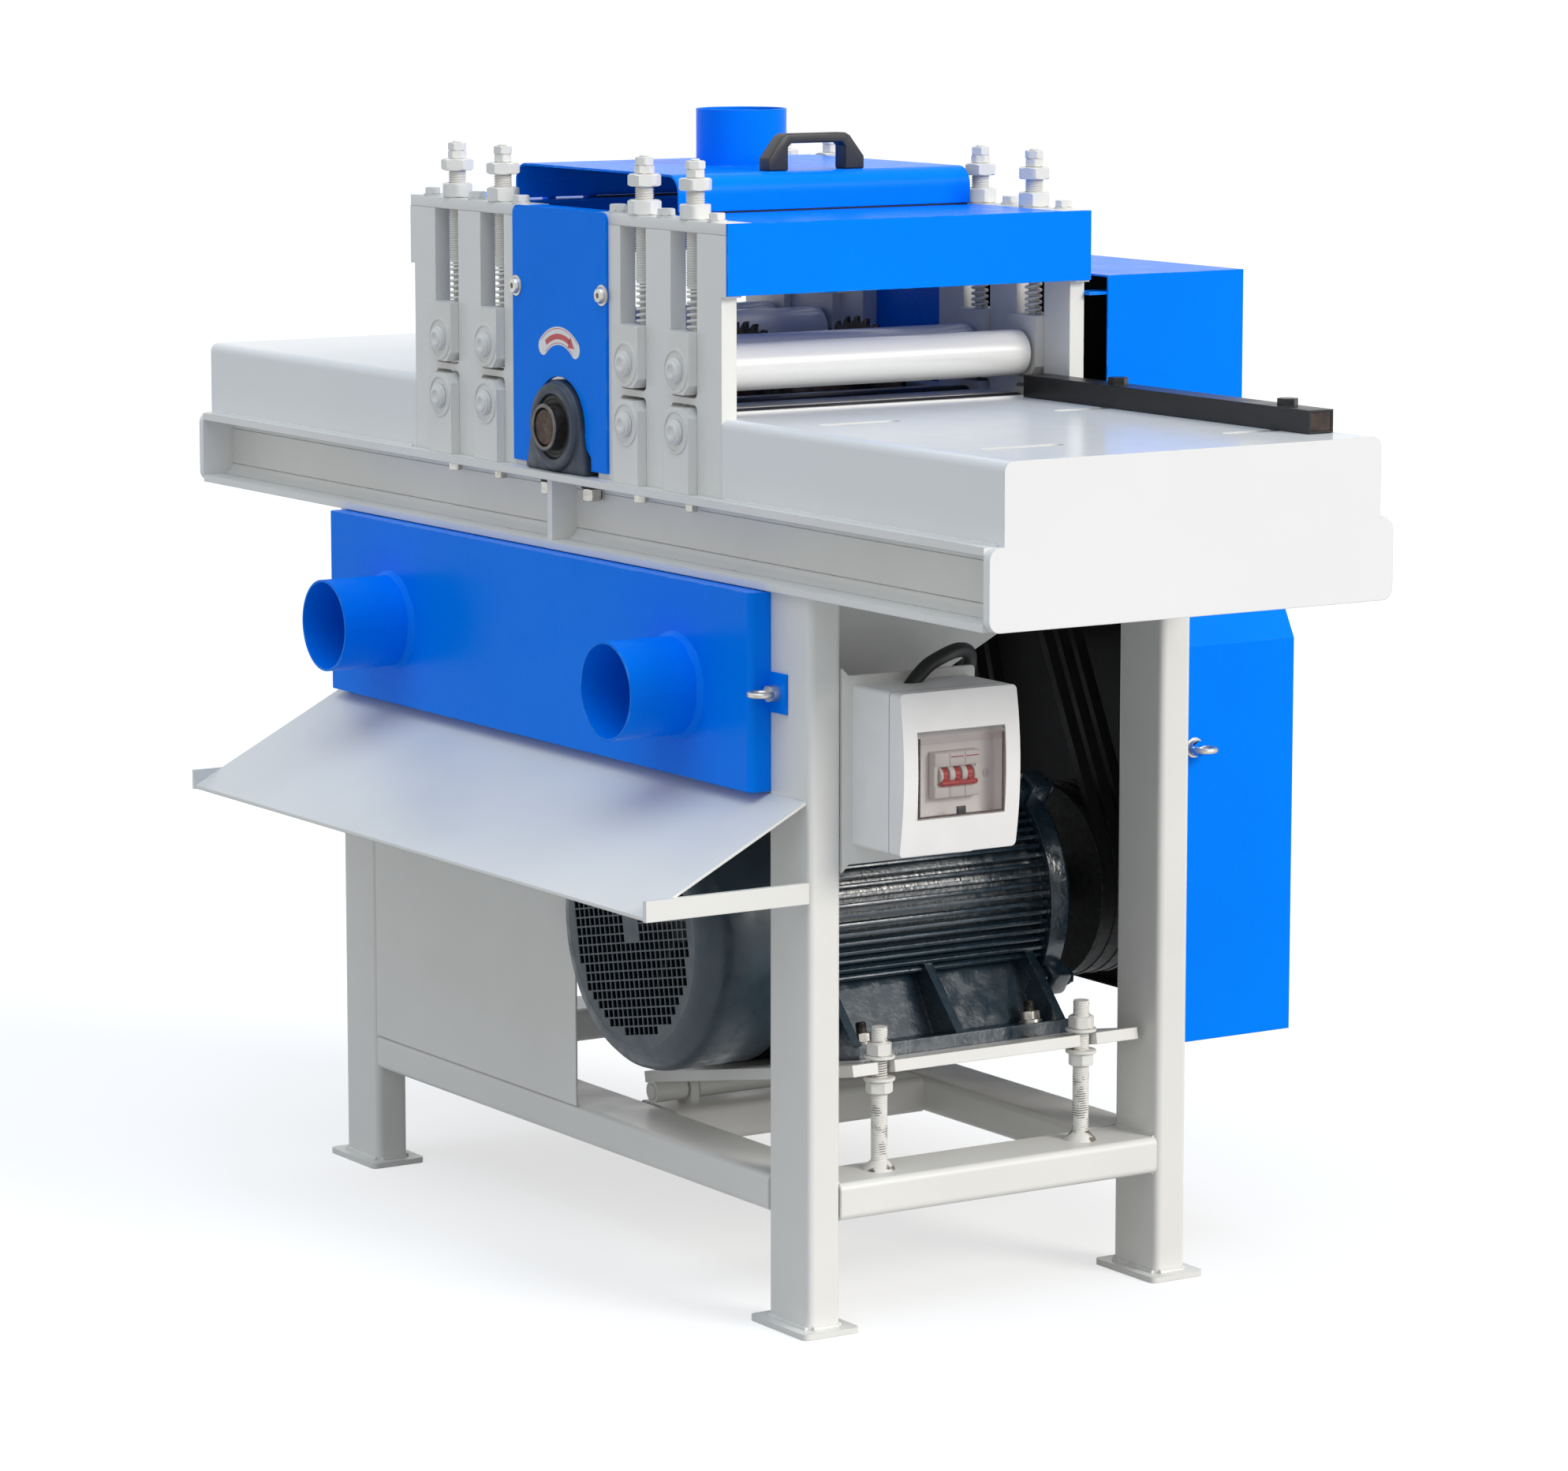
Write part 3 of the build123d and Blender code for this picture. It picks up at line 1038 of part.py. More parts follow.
# Motor: finned body on feet, end shields, terminal box with gland, fan cowl, shaft and fan
def motor_frame():
    core = Circle(MOTOR_CORE / 2)
    step = 360 / FIN_COUNT
    fins = []
    for k in range(FIN_COUNT):
        turn = (k + 0.5) * step
        clear_of_feet = abs(turn - 270) > FIN_FOOT_ANGLE
        clear_of_box = abs(turn - 90) > FIN_BOX_ANGLE
        if clear_of_feet and clear_of_box:
            fin = Rectangle(2 * FIN_HEIGHT, FIN_THICKNESS)
            fins.append(Rot(0, 0, turn) * Pos(MOTOR_CORE / 2, 0) * fin)
    body = slab_y(core + fins, MOTOR_BODY_START, MOTOR_BODY_END)
    body += round_y(0, 0, MOTOR_BODY_START - SHIELD_WALL, MOTOR_BODY_START, COWL - 2 * COWL_SHEET)
    rim = round_y(0, 0, MOTOR_BODY_END, MOTOR_BODY_END + SHIELD_RIM, SHIELD)
    rim = chamfer(rim.edges().group_by(Axis.Y)[-1], SHIELD_CHAMFER)
    body += rim + round_y(0, 0, MOTOR_BODY_END, MOTOR_BODY_END + SHIELD_HUB_REACH, SHIELD_HUB)
    floor = -MOTOR_HEIGHT
    outer, inner = FOOT_SPREAD / 2, FOOT_SPREAD / 2 - FOOT_PAD
    foot_top = floor + FOOT_THICKNESS
    inset = inner + FOOT_RIB
    web_top = -MOTOR_CORE / 4
    for side in (1, -1):
        pad_x = sorted((side * inner, side * outer))
        body += box(*pad_x, FOOT_START, FOOT_START + FOOT_RUN, floor, foot_top)
        web = shape((side * inner, foot_top), (side * inset, foot_top), (side * FOOT_WEB_OUT, web_top),
                    (side * FOOT_WEB_IN, web_top), (side * FOOT_WEB_KNEE, web_top - FOOT_WEB_KNEE_DROP))
        body += slab_y(web, FOOT_START, FOOT_START + FOOT_RUN)
        rib = shape((side * inset, foot_top), (side * (outer - FOOT_RIB), foot_top), (side * inner, web_top),
                    (side * FOOT_WEB_OUT, web_top))
        for y in (FOOT_START, FOOT_START + (FOOT_RUN - FOOT_RIB) / 2, FOOT_START + FOOT_RUN - FOOT_RIB):
            body += slab_y(rib, y, y + FOOT_RIB)
    return body


def terminal_box():
    y1 = TERMINAL_START + TERMINAL_WIDTH
    case = Pos(TERMINAL_X + TERMINAL_LENGTH / 2, (TERMINAL_START + y1) / 2) * RectangleRounded(
        TERMINAL_LENGTH, TERMINAL_WIDTH, TUBE_CORNER)
    return slab_z(case, MOTOR_CORE / 4, TERMINAL_TOP)


GLAND_Z = (MOTOR_CORE / 2 + TERMINAL_TOP) / 2 + SEAT
GLAND_X = TERMINAL_X + TERMINAL_LENGTH
GLAND_Y = TERMINAL_START + TERMINAL_WIDTH / 2
lead_bore = LEAD + 2 * GAP
gland = round_x(GLAND_Y, GLAND_Z, GLAND_X, GLAND_X + GLAND_LENGTH, GLAND)
cavity = round_y(0, 0, MOTOR_BODY_START, MOTOR_BODY_END, MOTOR_CAVITY)
shaft_hole = round_y(0, 0, MOTOR_BODY_START - SHIELD_WALL, MOTOR_BODY_END + SHIELD_HUB_REACH, SHAFT + 2 * RUN)
motor = motor_frame() + terminal_box() + gland - cavity - shaft_hole
motor -= round_x(GLAND_Y, GLAND_Z, GLAND_X, GLAND_X + GLAND_LENGTH, lead_bore)
FOOT_BOLT_YS = (FOOT_BOLT_FIRST, FOOT_BOLT_FIRST + FOOT_BOLT_PITCH)
FOOT_BOLT_SPOTS = [(side * FOOT_BOLT_SPREAD / 2, y) for side in (1, -1) for y in FOOT_BOLT_YS]
FOOT_LEVEL = -MOTOR_HEIGHT + FOOT_THICKNESS
CRADLE_LEVEL = -MOTOR_HEIGHT - CRADLE_PLATE
motor -= [round_z(x, y, -MOTOR_HEIGHT, FOOT_LEVEL, FOOT_BOLT) for x, y in FOOT_BOLT_SPOTS]


def fan_cowl():
    outer = round_y(0, 0, COWL_FACE, MOTOR_BODY_START, COWL)
    outer = fillet(outer.edges().group_by(Axis.Y)[0], COWL_ROUND)
    inner = round_y(0, 0, COWL_FACE + COWL_SHEET, MOTOR_BODY_START, COWL - 2 * COWL_SHEET)
    return outer - fillet(inner.edges().group_by(Axis.Y)[0], COWL_ROUND - COWL_SHEET)


def foot_bolt(x, y):
    bolt = round_z(x, y, CRADLE_LEVEL, FOOT_LEVEL, FOOT_BOLT)
    bolt += round_z(x, y, FOOT_LEVEL, FOOT_LEVEL + WASHER, FOOT_BOLT_AF + 3 * WASHER)
    seat = FOOT_LEVEL + WASHER
    return bolt + slab_z(Pos(x, y) * hexagon(FOOT_BOLT_AF), seat, seat + FOOT_BOLT_HEAD)


def motor_rotor():
    fan_end = MOTOR_BODY_START - SHIELD_WALL - SEAT
    rotor = round_y(0, 0, fan_end - FAN_WIDTH, PULLEY_START + PULLEY_WIDTH, SHAFT)
    core_gap = SHIELD_WALL + ROTOR_CORE_GAP
    core = MOTOR_CAVITY - 2 * ROTOR_CORE_GAP
    rotor += round_y(0, 0, MOTOR_BODY_START + core_gap, MOTOR_BODY_END - core_gap, core)
    rotor += round_y(0, 0, fan_end - FAN_BLADE, fan_end, FAN)
    for k in range(FAN_BLADES):
        vane = Rot(0, 0, 360 / FAN_BLADES * k) * Pos(FAN_VANE_MIDDLE, 0) * Rectangle(FAN_VANE, FAN_BLADE)
        rotor += slab_y(vane, fan_end - FAN_WIDTH + SEAT, fan_end - FAN_BLADE / 2)
    return rotor


save("motor_frame", MOTOR_PLACE * motor)
save("fan_cowl", MOTOR_PLACE * fan_cowl())
save("motor_mount_bolts", *[MOTOR_PLACE * foot_bolt(x, y) for x, y in FOOT_BOLT_SPOTS])
save("motor_rotor", MOTOR_PLACE * motor_rotor())
save("motor_pulley", MOTOR_PLACE * grooved_pulley(0, 0, MOTOR_PULLEY, SHAFT))


# Cradle: the hinged motor plate, open notches at the two studs, and the tension nuts on them
def stud_notch_x():
    reach = LEG_XS[0] - MOTOR_X
    tilt = math.radians(MOTOR_TILT)
    return (reach - (MOTOR_HEIGHT + CRADLE_PLATE / 2) * math.sin(tilt)) / math.cos(tilt)


def cradle_plate():
    y1 = CRADLE_START + CRADLE_LENGTH
    plate = box(CRADLE_FAR_X, CRADLE_NEAR_X, CRADLE_START, y1, CRADLE_LEVEL, -MOTOR_HEIGHT)
    notch_x = stud_notch_x()
    notch = STUD + 2 * NOTCH_PLAY
    notch_end = notch_x - NOTCH_SWING
    for y in (-STUD_Y, STUD_Y):
        plate -= round_z(notch_end, y, CRADLE_LEVEL, -MOTOR_HEIGHT, notch)
        plate -= box(notch_end, CRADLE_NEAR_X, y - notch / 2, y + notch / 2, CRADLE_LEVEL, -MOTOR_HEIGHT)
    plate -= [round_z(x, y, CRADLE_LEVEL, -MOTOR_HEIGHT, FOOT_BOLT) for x, y in FOOT_BOLT_SPOTS]
    side = CRADLE_LUG / 2 + CRADLE_LUG_GAP
    lug_end = HINGE_LOCAL[0] + CRADLE_TUBE / 2 + 2 * CRADLE_LUG_GAP
    for y in (-CRADLE_LUG_Y, CRADLE_LUG_Y):
        plate -= box(CRADLE_FAR_X, lug_end, y - side, y + side, CRADLE_LEVEL, -MOTOR_HEIGHT)
    ring = Pos(*HINGE_LOCAL) * (Circle(CRADLE_TUBE / 2) - Circle(CRADLE_PIN / 2 + RUN))
    for start, end in ((CRADLE_START, -CRADLE_LUG_Y - side), (side - CRADLE_LUG_Y, CRADLE_LUG_Y - side),
                       (CRADLE_LUG_Y + side, y1)):
        plate += slab_y(ring, start, end)
    return plate


def tension_nuts(y):
    tilt = math.radians(MOTOR_TILT)
    level = MOTOR_Z + (LEG_XS[0] - MOTOR_X) * math.tan(tilt) - MOTOR_HEIGHT / math.cos(tilt)
    slack = STUD_WASHER / 2 * math.tan(tilt) + 2 * GAP
    top = level + slack
    bottom = level - CRADLE_PLATE / math.cos(tilt) - slack
    x = LEG_XS[0]
    hole = STUD + 2 * GAP
    washer = Circle(STUD_WASHER / 2) - Circle(hole / 2)
    nut = hexagon(STUD_NUT_AF) - Circle(hole / 2)
    above, below = top + STUD_WASHER_THICKNESS, bottom - STUD_WASHER_THICKNESS
    upper = slab_z(Pos(x, y) * washer, top, above) + slab_z(Pos(x, y) * nut, above, above + STUD_NUT)
    lower = slab_z(Pos(x, y) * washer, below, bottom) + slab_z(Pos(x, y) * nut, below - STUD_NUT, below)
    return [upper, lower]


save("cradle_plate", MOTOR_PLACE * cradle_plate())
save("cradle_nuts", *tension_nuts(-STUD_Y), *tension_nuts(STUD_Y))


# Drive belts and feed chain: closed loops round their pulleys and sprockets
def loop(circles, thickness):
    inner = make_hull([edge for x, z, r in circles for edge in (Pos(x, z) * Circle(r)).edges()])
    outer = make_hull([edge for x, z, r in circles for edge in (Pos(x, z) * Circle(r + thickness)).edges()])
    return outer - inner


belt_seat = BELT_BELOW_RIM + BELT_DEPTH
belt_stops = [(0, ARBOR_AXIS, ARBOR_PULLEY / 2 - belt_seat), (MOTOR_X, MOTOR_Z, MOTOR_PULLEY / 2 - belt_seat)]
belt = loop(belt_stops, BELT_DEPTH)
save("drive_belts", *[slab_y(belt, y - BELT_WIDTH / 2, y + BELT_WIDTH / 2) for y in BELT_LINES])
chain_inner = SPROCKET / 2 + GAP
chain_stops = [(x, LOWER_AXIS, chain_inner) for x in ROLLER_ROWS] + [(FEED_X, FEED_Z, chain_inner)]
chain = loop(chain_stops, CHAIN_THICKNESS)
save("feed_chain", slab_y(chain, SPROCKET_Y - CHAIN_WIDTH / 2, SPROCKET_Y + CHAIN_WIDTH / 2))


# Feed gearmotor hung under the far channel, and its sprocket
def feed_gearmotor():
    half = FEED_BOX / 2
    low = FEED_Z - FEED_BOX_BELOW
    start = FEED_BOX_END - FEED_BOX_DEPTH
    case = box(FEED_X - half, FEED_X + half, start, FEED_BOX_END, low, low + FEED_BOX_HEIGHT)
    case = fillet(case.edges().filter_by(Axis.Y), TUBE_CORNER)
    case += round_x(FEED_MOTOR_Y, FEED_Z, FEED_X + half, FEED_X + half + FEED_MOTOR_LENGTH, FEED_MOTOR)
    y = CHANNEL_OUT - CHANNEL_FLANGE
    case += box(FEED_X - FEED_BRACKET / 2, FEED_X + FEED_BRACKET / 2, y, y + FEED_BRACKET_WIDTH,
                low + FEED_BOX_HEIGHT, CHANNEL_BOTTOM)
    return case - round_y(FEED_X, FEED_Z, start + FEED_BOX_DEPTH / 2, FEED_BOX_END, FEED_SHAFT + 2 * RUN)


shaft_start = FEED_BOX_END - FEED_BOX_DEPTH / 2 + GAP
feed_shaft = round_y(FEED_X, FEED_Z, shaft_start, SPROCKET_Y + SPROCKET_WIDTH / 2, FEED_SHAFT)
save("feed_gearmotor", feed_gearmotor())
save("feed_sprocket", feed_shaft + sprocket(FEED_X, FEED_Z, FEED_SHAFT))


# Belt guards: folded sheet boxes open towards the frame, with tabs that reach it
def guard_walls(outline, inside):
    end = GUARD_START + GUARD_DEPTH
    return slab_y(outline, GUARD_START, end) - slab_y(inside, GUARD_START, end - GUARD_SHEET)


def upper_guard():
    half = GUARD_HALF
    low, high = GUARD_SPLIT + GUARD_SPLIT_GAP, GUARD_TOP
    outline = shape((-half, low), (half, low), (half, high), (-half, high))
    skin = half - GUARD_SHEET
    inside = shape((-skin, low), (skin, low), (skin, high - GUARD_SHEET), (-skin, high - GUARD_SHEET))
    guard = guard_walls(outline, inside)
    for side in (1, -1):
        tab_x = sorted((side * skin, side * (skin - GUARD_TAB)))
        tab_z = (COVER_SCREW_Z - GUARD_TAB_PLATE, COVER_SCREW_Z)
        guard += box(*tab_x, HEAD_OUT, GUARD_START + GUARD_TAB, *tab_z)
    return guard


def lower_guard():
    low, high = GUARD_BOTTOM, GUARD_SPLIT
    wide, far, s = GUARD_WIDE_X, GUARD_FAR_X, GUARD_SHEET
    outline = shape((far, low), (wide, low), (wide, GUARD_SHOULDER), (GUARD_HALF, high), (far, high))
    inside = shape((far + s, low), (wide - s, low), (wide - s, GUARD_SHOULDER), (GUARD_HALF - s, high),
                   (far + s, high))
    guard = guard_walls(outline, inside)
    end = GUARD_START + GUARD_DEPTH - s
    guard += box(far + s, wide - s, end - GUARD_FLANGE, end, low, low + s)
    guard += box(wide - GUARD_TAB_PLATE - s, wide - s, LEG_OUT, GUARD_START + GUARD_TAB,
                 GUARD_EYE_Z - GUARD_TAB, GUARD_EYE_Z + GUARD_TAB)
    guard += box(far + s, far + s + GUARD_TAB, CHANNEL_OUT, GUARD_START + GUARD_TAB, CHANNEL_BOTTOM,
                 CHANNEL_BOTTOM + GUARD_TAB_PLATE)
    return guard


def eye_nut():
    ring = Pos(0, 0, EYE_NECK + EYE_RING) * Rot(0, 90, 0) * Torus(EYE_RING, EYE_WIRE)
    return ring + Cylinder(TRAY_STUD, EYE_NECK + EYE_WIRE, align=(Align.CENTER, Align.CENTER, Align.MIN))


guard_eye = Pos(GUARD_WIDE_X, GUARD_EYE_Y, GUARD_EYE_Z) * Rot(0, 90, 0) * eye_nut()
save("belt_guard_upper", upper_guard())
save("belt_guard_lower", lower_guard(), guard_eye)


# Dust tray: a shallow pan with two round ports, a tab at each end, and eye nuts on the tabs
def dust_tray():
    x1, z1 = TRAY_START + TRAY_LENGTH, TRAY_BOTTOM + TRAY_HEIGHT
    front = -LEG_OUT - TRAY_DEPTH
    pan = box(TRAY_START, x1, front, -LEG_OUT, TRAY_BOTTOM, z1)
    pan = fillet(pan.edges().filter_by(Axis.Z).group_by(Axis.Y)[0], TRAY_CORNER)
    s = TRAY_SHEET
    hollow = box(TRAY_START + s, x1 - s, front + s, -LEG_OUT, TRAY_BOTTOM + s, z1 - s)
    pan -= fillet(hollow.edges().filter_by(Axis.Z).group_by(Axis.Y)[0], TRAY_CORNER - s)
    for x in (PORT_NEAR_X, PORT_FAR_X):
        weld = Pos(x, front, PORT_Z) * Rot(90, 0, 0) * Cone(
            PORT / 2 + PORT_WELD, PORT / 2, PORT_WELD, align=(Align.CENTER, Align.CENTER, Align.MIN))
        pan += round_y(x, PORT_Z, front - PORT_REACH, front + s, PORT) + weld
        pan -= round_y(x, PORT_Z, front - PORT_REACH, front + s, PORT - 2 * PORT_WALL)
    low, high = TRAY_TAB_Z - TRAY_TAB_HEIGHT / 2, TRAY_TAB_Z + TRAY_TAB_HEIGHT / 2
    for x0, x in ((x1 - s, TAB_NEAR_X), (TRAY_START + s - TRAY_TAB, TAB_FAR_X)):
        pan += box(x0, x0 + TRAY_TAB, -LEG_OUT - s, -LEG_OUT, low, high)
        pan -= round_y(x, TRAY_TAB_Z, -LEG_OUT - s, -LEG_OUT, TRAY_STUD)
    return pan


TAB_NEAR_X = TRAY_START + TRAY_LENGTH - TRAY_SHEET + TRAY_TAB / 2
TAB_FAR_X = TRAY_START + TRAY_SHEET - TRAY_TAB / 2


def tray_eye(x):
    shank = round_y(x, TRAY_TAB_Z, -LEG_OUT - TRAY_SHEET, -LEG_OUT, TRAY_STUD)
    return Pos(x, -LEG_OUT - TRAY_SHEET, TRAY_TAB_Z) * Rot(90, 0, 0) * Rot(0, 0, 90) * eye_nut() + shank


save("dust_tray", dust_tray())
save("tray_eye_nuts", tray_eye(TAB_NEAR_X), tray_eye(TAB_FAR_X))


# Rip fence: a tube with two bolts through the table slots
def fence():
    low = TABLE_HEIGHT + GAP
    middle = Pos(FENCE_Y, low + FENCE_HEIGHT / 2)
    section = middle * Rectangle(FENCE_WIDTH, FENCE_HEIGHT)
    section -= middle * Rectangle(FENCE_WIDTH - 2 * FENCE_WALL, FENCE_HEIGHT - 2 * FENCE_WALL)
    bar = slab_x(section, FENCE_START, FENCE_START + FENCE_LENGTH)
    top = low + FENCE_HEIGHT
    under = TABLE_HEIGHT - TABLE_SHEET - GAP
    nut_low = under - FENCE_BOLT_HEAD
    for x in (FENCE_NEAR_BOLT, FENCE_FAR_BOLT):
        bar += round_z(x, FENCE_Y, nut_low, top, FENCE_BOLT)
        bar += slab_z(Pos(x, FENCE_Y) * hexagon(FENCE_BOLT_AF), top, top + FENCE_BOLT_HEAD)
        bar += slab_z(Pos(x, FENCE_Y) * hexagon(FENCE_BOLT_AF + 2 * FENCE_WALL), nut_low, under)
    return bar


save("fence", fence())


# Breaker box: back shell on the tab, bulged cover with a window, switch, toggle bar, flap
BOX_BACK = TAB_FACE
BOX_SEAM = BOX_BACK + BREAKER_BACK_DEPTH
BOX_TOP = BREAKER_BOTTOM + BREAKER_HEIGHT
BOX_FRONT = BOX_SEAM + BREAKER_FRONT_DEPTH
BOX_END = BREAKER_Y + BREAKER_WIDTH
WINDOW_Y = BREAKER_Y + BREAKER_WIDTH / 2
WINDOW_TOP = WINDOW_BOTTOM + WINDOW_HEIGHT
SWITCH_FACE = BOX_SEAM + SWITCH_NOSE_RISE
BOW_RADIUS = ((BREAKER_HEIGHT / 2) ** 2 + BREAKER_BULGE ** 2) / (2 * BREAKER_BULGE)
FLAP_AXIS_Z = WINDOW_TOP - FLAP_PLAY - FLAP_ROLL / 2
BOW_DROP = BOW_RADIUS - math.sqrt(BOW_RADIUS ** 2 - (FLAP_AXIS_Z - BREAKER_BOTTOM - BREAKER_HEIGHT / 2) ** 2)
FLAP_AXIS_X = BOX_FRONT + BREAKER_BULGE - BOW_DROP - FLAP_AXIS_IN


lead_hole = Vector(LEAD_X, LEAD_Y, BOX_TOP)
lead_entry = [lead_hole + Vector(*point) for point in LEAD_ENTRY]


def breaker_back():
    w = BREAKER_WALL
    shell = box(BOX_BACK, BOX_SEAM, BREAKER_Y, BOX_END, BREAKER_BOTTOM, BOX_TOP)
    shell = fillet(shell.edges().filter_by(Axis.X), BREAKER_CORNER)
    hollow = box(BOX_BACK + w, BOX_SEAM, BREAKER_Y + w, BOX_END - w, BREAKER_BOTTOM + w, BOX_TOP - w)
    shell -= fillet(hollow.edges().filter_by(Axis.X), BREAKER_CORNER - w)
    inside, outside = lead_entry
    way = Plane(origin=inside, z_dir=outside - inside)
    return shell - way * slab_z(Circle(lead_bore / 2), 0, (outside - inside).length)


def front_profile(inset):
    low, high = BREAKER_BOTTOM + inset, BOX_TOP - inset
    front, bulge = BOX_FRONT - inset, BOX_FRONT + BREAKER_BULGE - inset
    sides = Polyline((front, high), (BOX_SEAM, high), (BOX_SEAM, low), (front, low))
    bow = ThreePointArc((front, low), (bulge, (low + high) / 2), (front, high))
    return make_face([*sides.edges(), *bow.edges()])


def breaker_cover():
    w = BREAKER_WALL
    cover = slab_y(front_profile(0), BREAKER_Y, BOX_END)
    cover = fillet(cover.edges().filter_by(Axis.X), BREAKER_CORNER)
    cover -= slab_y(front_profile(w), BREAKER_Y + w, BOX_END - w)
    half = WINDOW_WIDTH / 2
    well = box(BOX_SEAM, BOX_FRONT + BREAKER_BULGE, WINDOW_Y - half - w, WINDOW_Y + half + w,
               WINDOW_BOTTOM - w, WINDOW_TOP + w) & slab_y(front_profile(0), BREAKER_Y, BOX_END)
    cover += well
    cover -= box(BOX_SEAM + w, BOX_FRONT + BREAKER_BULGE, WINDOW_Y - half, WINDOW_Y + half,
                 WINDOW_BOTTOM, WINDOW_TOP)
    side = half + w
    cover -= round_y(FLAP_AXIS_X, FLAP_AXIS_Z, WINDOW_Y - side, WINDOW_Y + side, FLAP_PIN + 2 * RUN)
    nose, tall = SWITCH_WIDTH / 2 + GAP, SWITCH_NOSE / 2 + GAP
    return cover - box(BOX_SEAM, BOX_SEAM + w, SWITCH_Y - nose, SWITCH_Y + nose,
                       SWITCH_Z - tall, SWITCH_Z + tall)


def circuit_breaker():
    y0, y1 = SWITCH_Y - SWITCH_WIDTH / 2, SWITCH_Y + SWITCH_WIDTH / 2
    tall = SWITCH_HEIGHT / 2
    body = box(BOX_BACK + BREAKER_WALL, BOX_SEAM - GAP, y0, y1, SWITCH_Z - tall, SWITCH_Z + tall)
    body += box(BOX_SEAM - GAP, SWITCH_FACE, y0, y1, SWITCH_Z - SWITCH_NOSE / 2, SWITCH_Z + SWITCH_NOSE / 2)
    span = TOGGLE_SPAN / 2 + GAP
    reach = TOGGLE_RADIUS + GAP
    pivot = SWITCH_FACE - TOGGLE_PIVOT_IN
    left, right = SWITCH_Y - span, SWITCH_Y + span
    body -= round_y(pivot, SWITCH_Z, left, right, 2 * reach)
    swing = math.radians(TOGGLE_REST)
    slot = TOGGLE_PIVOT_IN * math.tan(swing) + TOGGLE_LEVER_WIDTH / 2 / math.cos(swing) + GAP
    return body - box(pivot, SWITCH_FACE, left, right, SWITCH_Z - slot, SWITCH_Z + slot)


def breaker_toggle():
    x = SWITCH_FACE - TOGGLE_PIVOT_IN
    half = TOGGLE_SPAN / 2
    drum = round_y(x, SWITCH_Z, SWITCH_Y - half, SWITCH_Y + half, 2 * TOGGLE_RADIUS)
    lever = TOGGLE_LEVER_WIDTH / 2
    handle = box(0, TOGGLE_LEVER, SWITCH_Y - half, SWITCH_Y + half, -lever, lever)
    return drum + Pos(x, 0, SWITCH_Z) * Rot(0, TOGGLE_REST, 0) * handle


def breaker_flap():
    half = WINDOW_WIDTH / 2 - FLAP_PLAY
    pin = half + FLAP_PIN_REACH
    inner = slab_y(front_profile(FLAP_SHEET), WINDOW_Y - half, WINDOW_Y + half)
    outer = slab_y(front_profile(0), WINDOW_Y - half, WINDOW_Y + half)
    window = box(BOX_FRONT - BREAKER_WALL, BOX_FRONT + BREAKER_BULGE, WINDOW_Y - half, WINDOW_Y + half,
                 WINDOW_BOTTOM + FLAP_PLAY, FLAP_AXIS_Z)
    roll = round_y(FLAP_AXIS_X, FLAP_AXIS_Z, WINDOW_Y - half, WINDOW_Y + half, FLAP_ROLL)
    roll += round_y(FLAP_AXIS_X, FLAP_AXIS_Z, WINDOW_Y - pin, WINDOW_Y + pin, FLAP_PIN)
    return ((outer - inner) & window) + roll


save("breaker_box_back", breaker_back())
save("breaker_box_cover", breaker_cover())
save("circuit_breaker", circuit_breaker())
save("breaker_toggle", breaker_toggle())
save("breaker_flap", breaker_flap())


# Motor lead: out of a slanting hole in the breaker box, over the tab and down to the terminal box gland
gland_mouth = MOTOR_PLACE * Pos(GLAND_X + GLAND_LENGTH - LEAD_IN_GLAND, GLAND_Y, GLAND_Z)
lead_bend = MOTOR_PLACE * Pos(GLAND_X + GLAND_LENGTH + LEAD_LAST_RUN, GLAND_Y, GLAND_Z)
LEAD_ROUTE = lead_entry + [lead_hole + Vector(*bend) for bend in LEAD_BENDS]
LEAD_ROUTE += [lead_bend.position, gland_mouth.position]
radii = []
for k in range(1, len(LEAD_ROUTE) - 1):
    before, after = LEAD_ROUTE[k] - LEAD_ROUTE[k - 1], LEAD_ROUTE[k + 1] - LEAD_ROUTE[k]
    half_turn = math.radians(before.get_angle(after)) / 2
    radii.append(LEAD_BEND_SHARE * min(before.length, after.length) / math.tan(half_turn))
lead_line = FilletPolyline(*LEAD_ROUTE, radius=radii)
lead_start = Plane(origin=lead_line @ 0, z_dir=lead_line % 0)
lead = sweep(lead_start * Circle(LEAD / 2), path=lead_line)
print("lead: radii", [round(r) for r in radii], f"length {lead_line.length:.0f}, volume {lead.volume:.0f}, "
      f"section times length {math.pi * LEAD ** 2 / 4 * lead_line.length:.0f}")
save("motor_cable", lead)
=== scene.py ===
import math

import bmesh
import bpy
from mathutils import Matrix, Vector


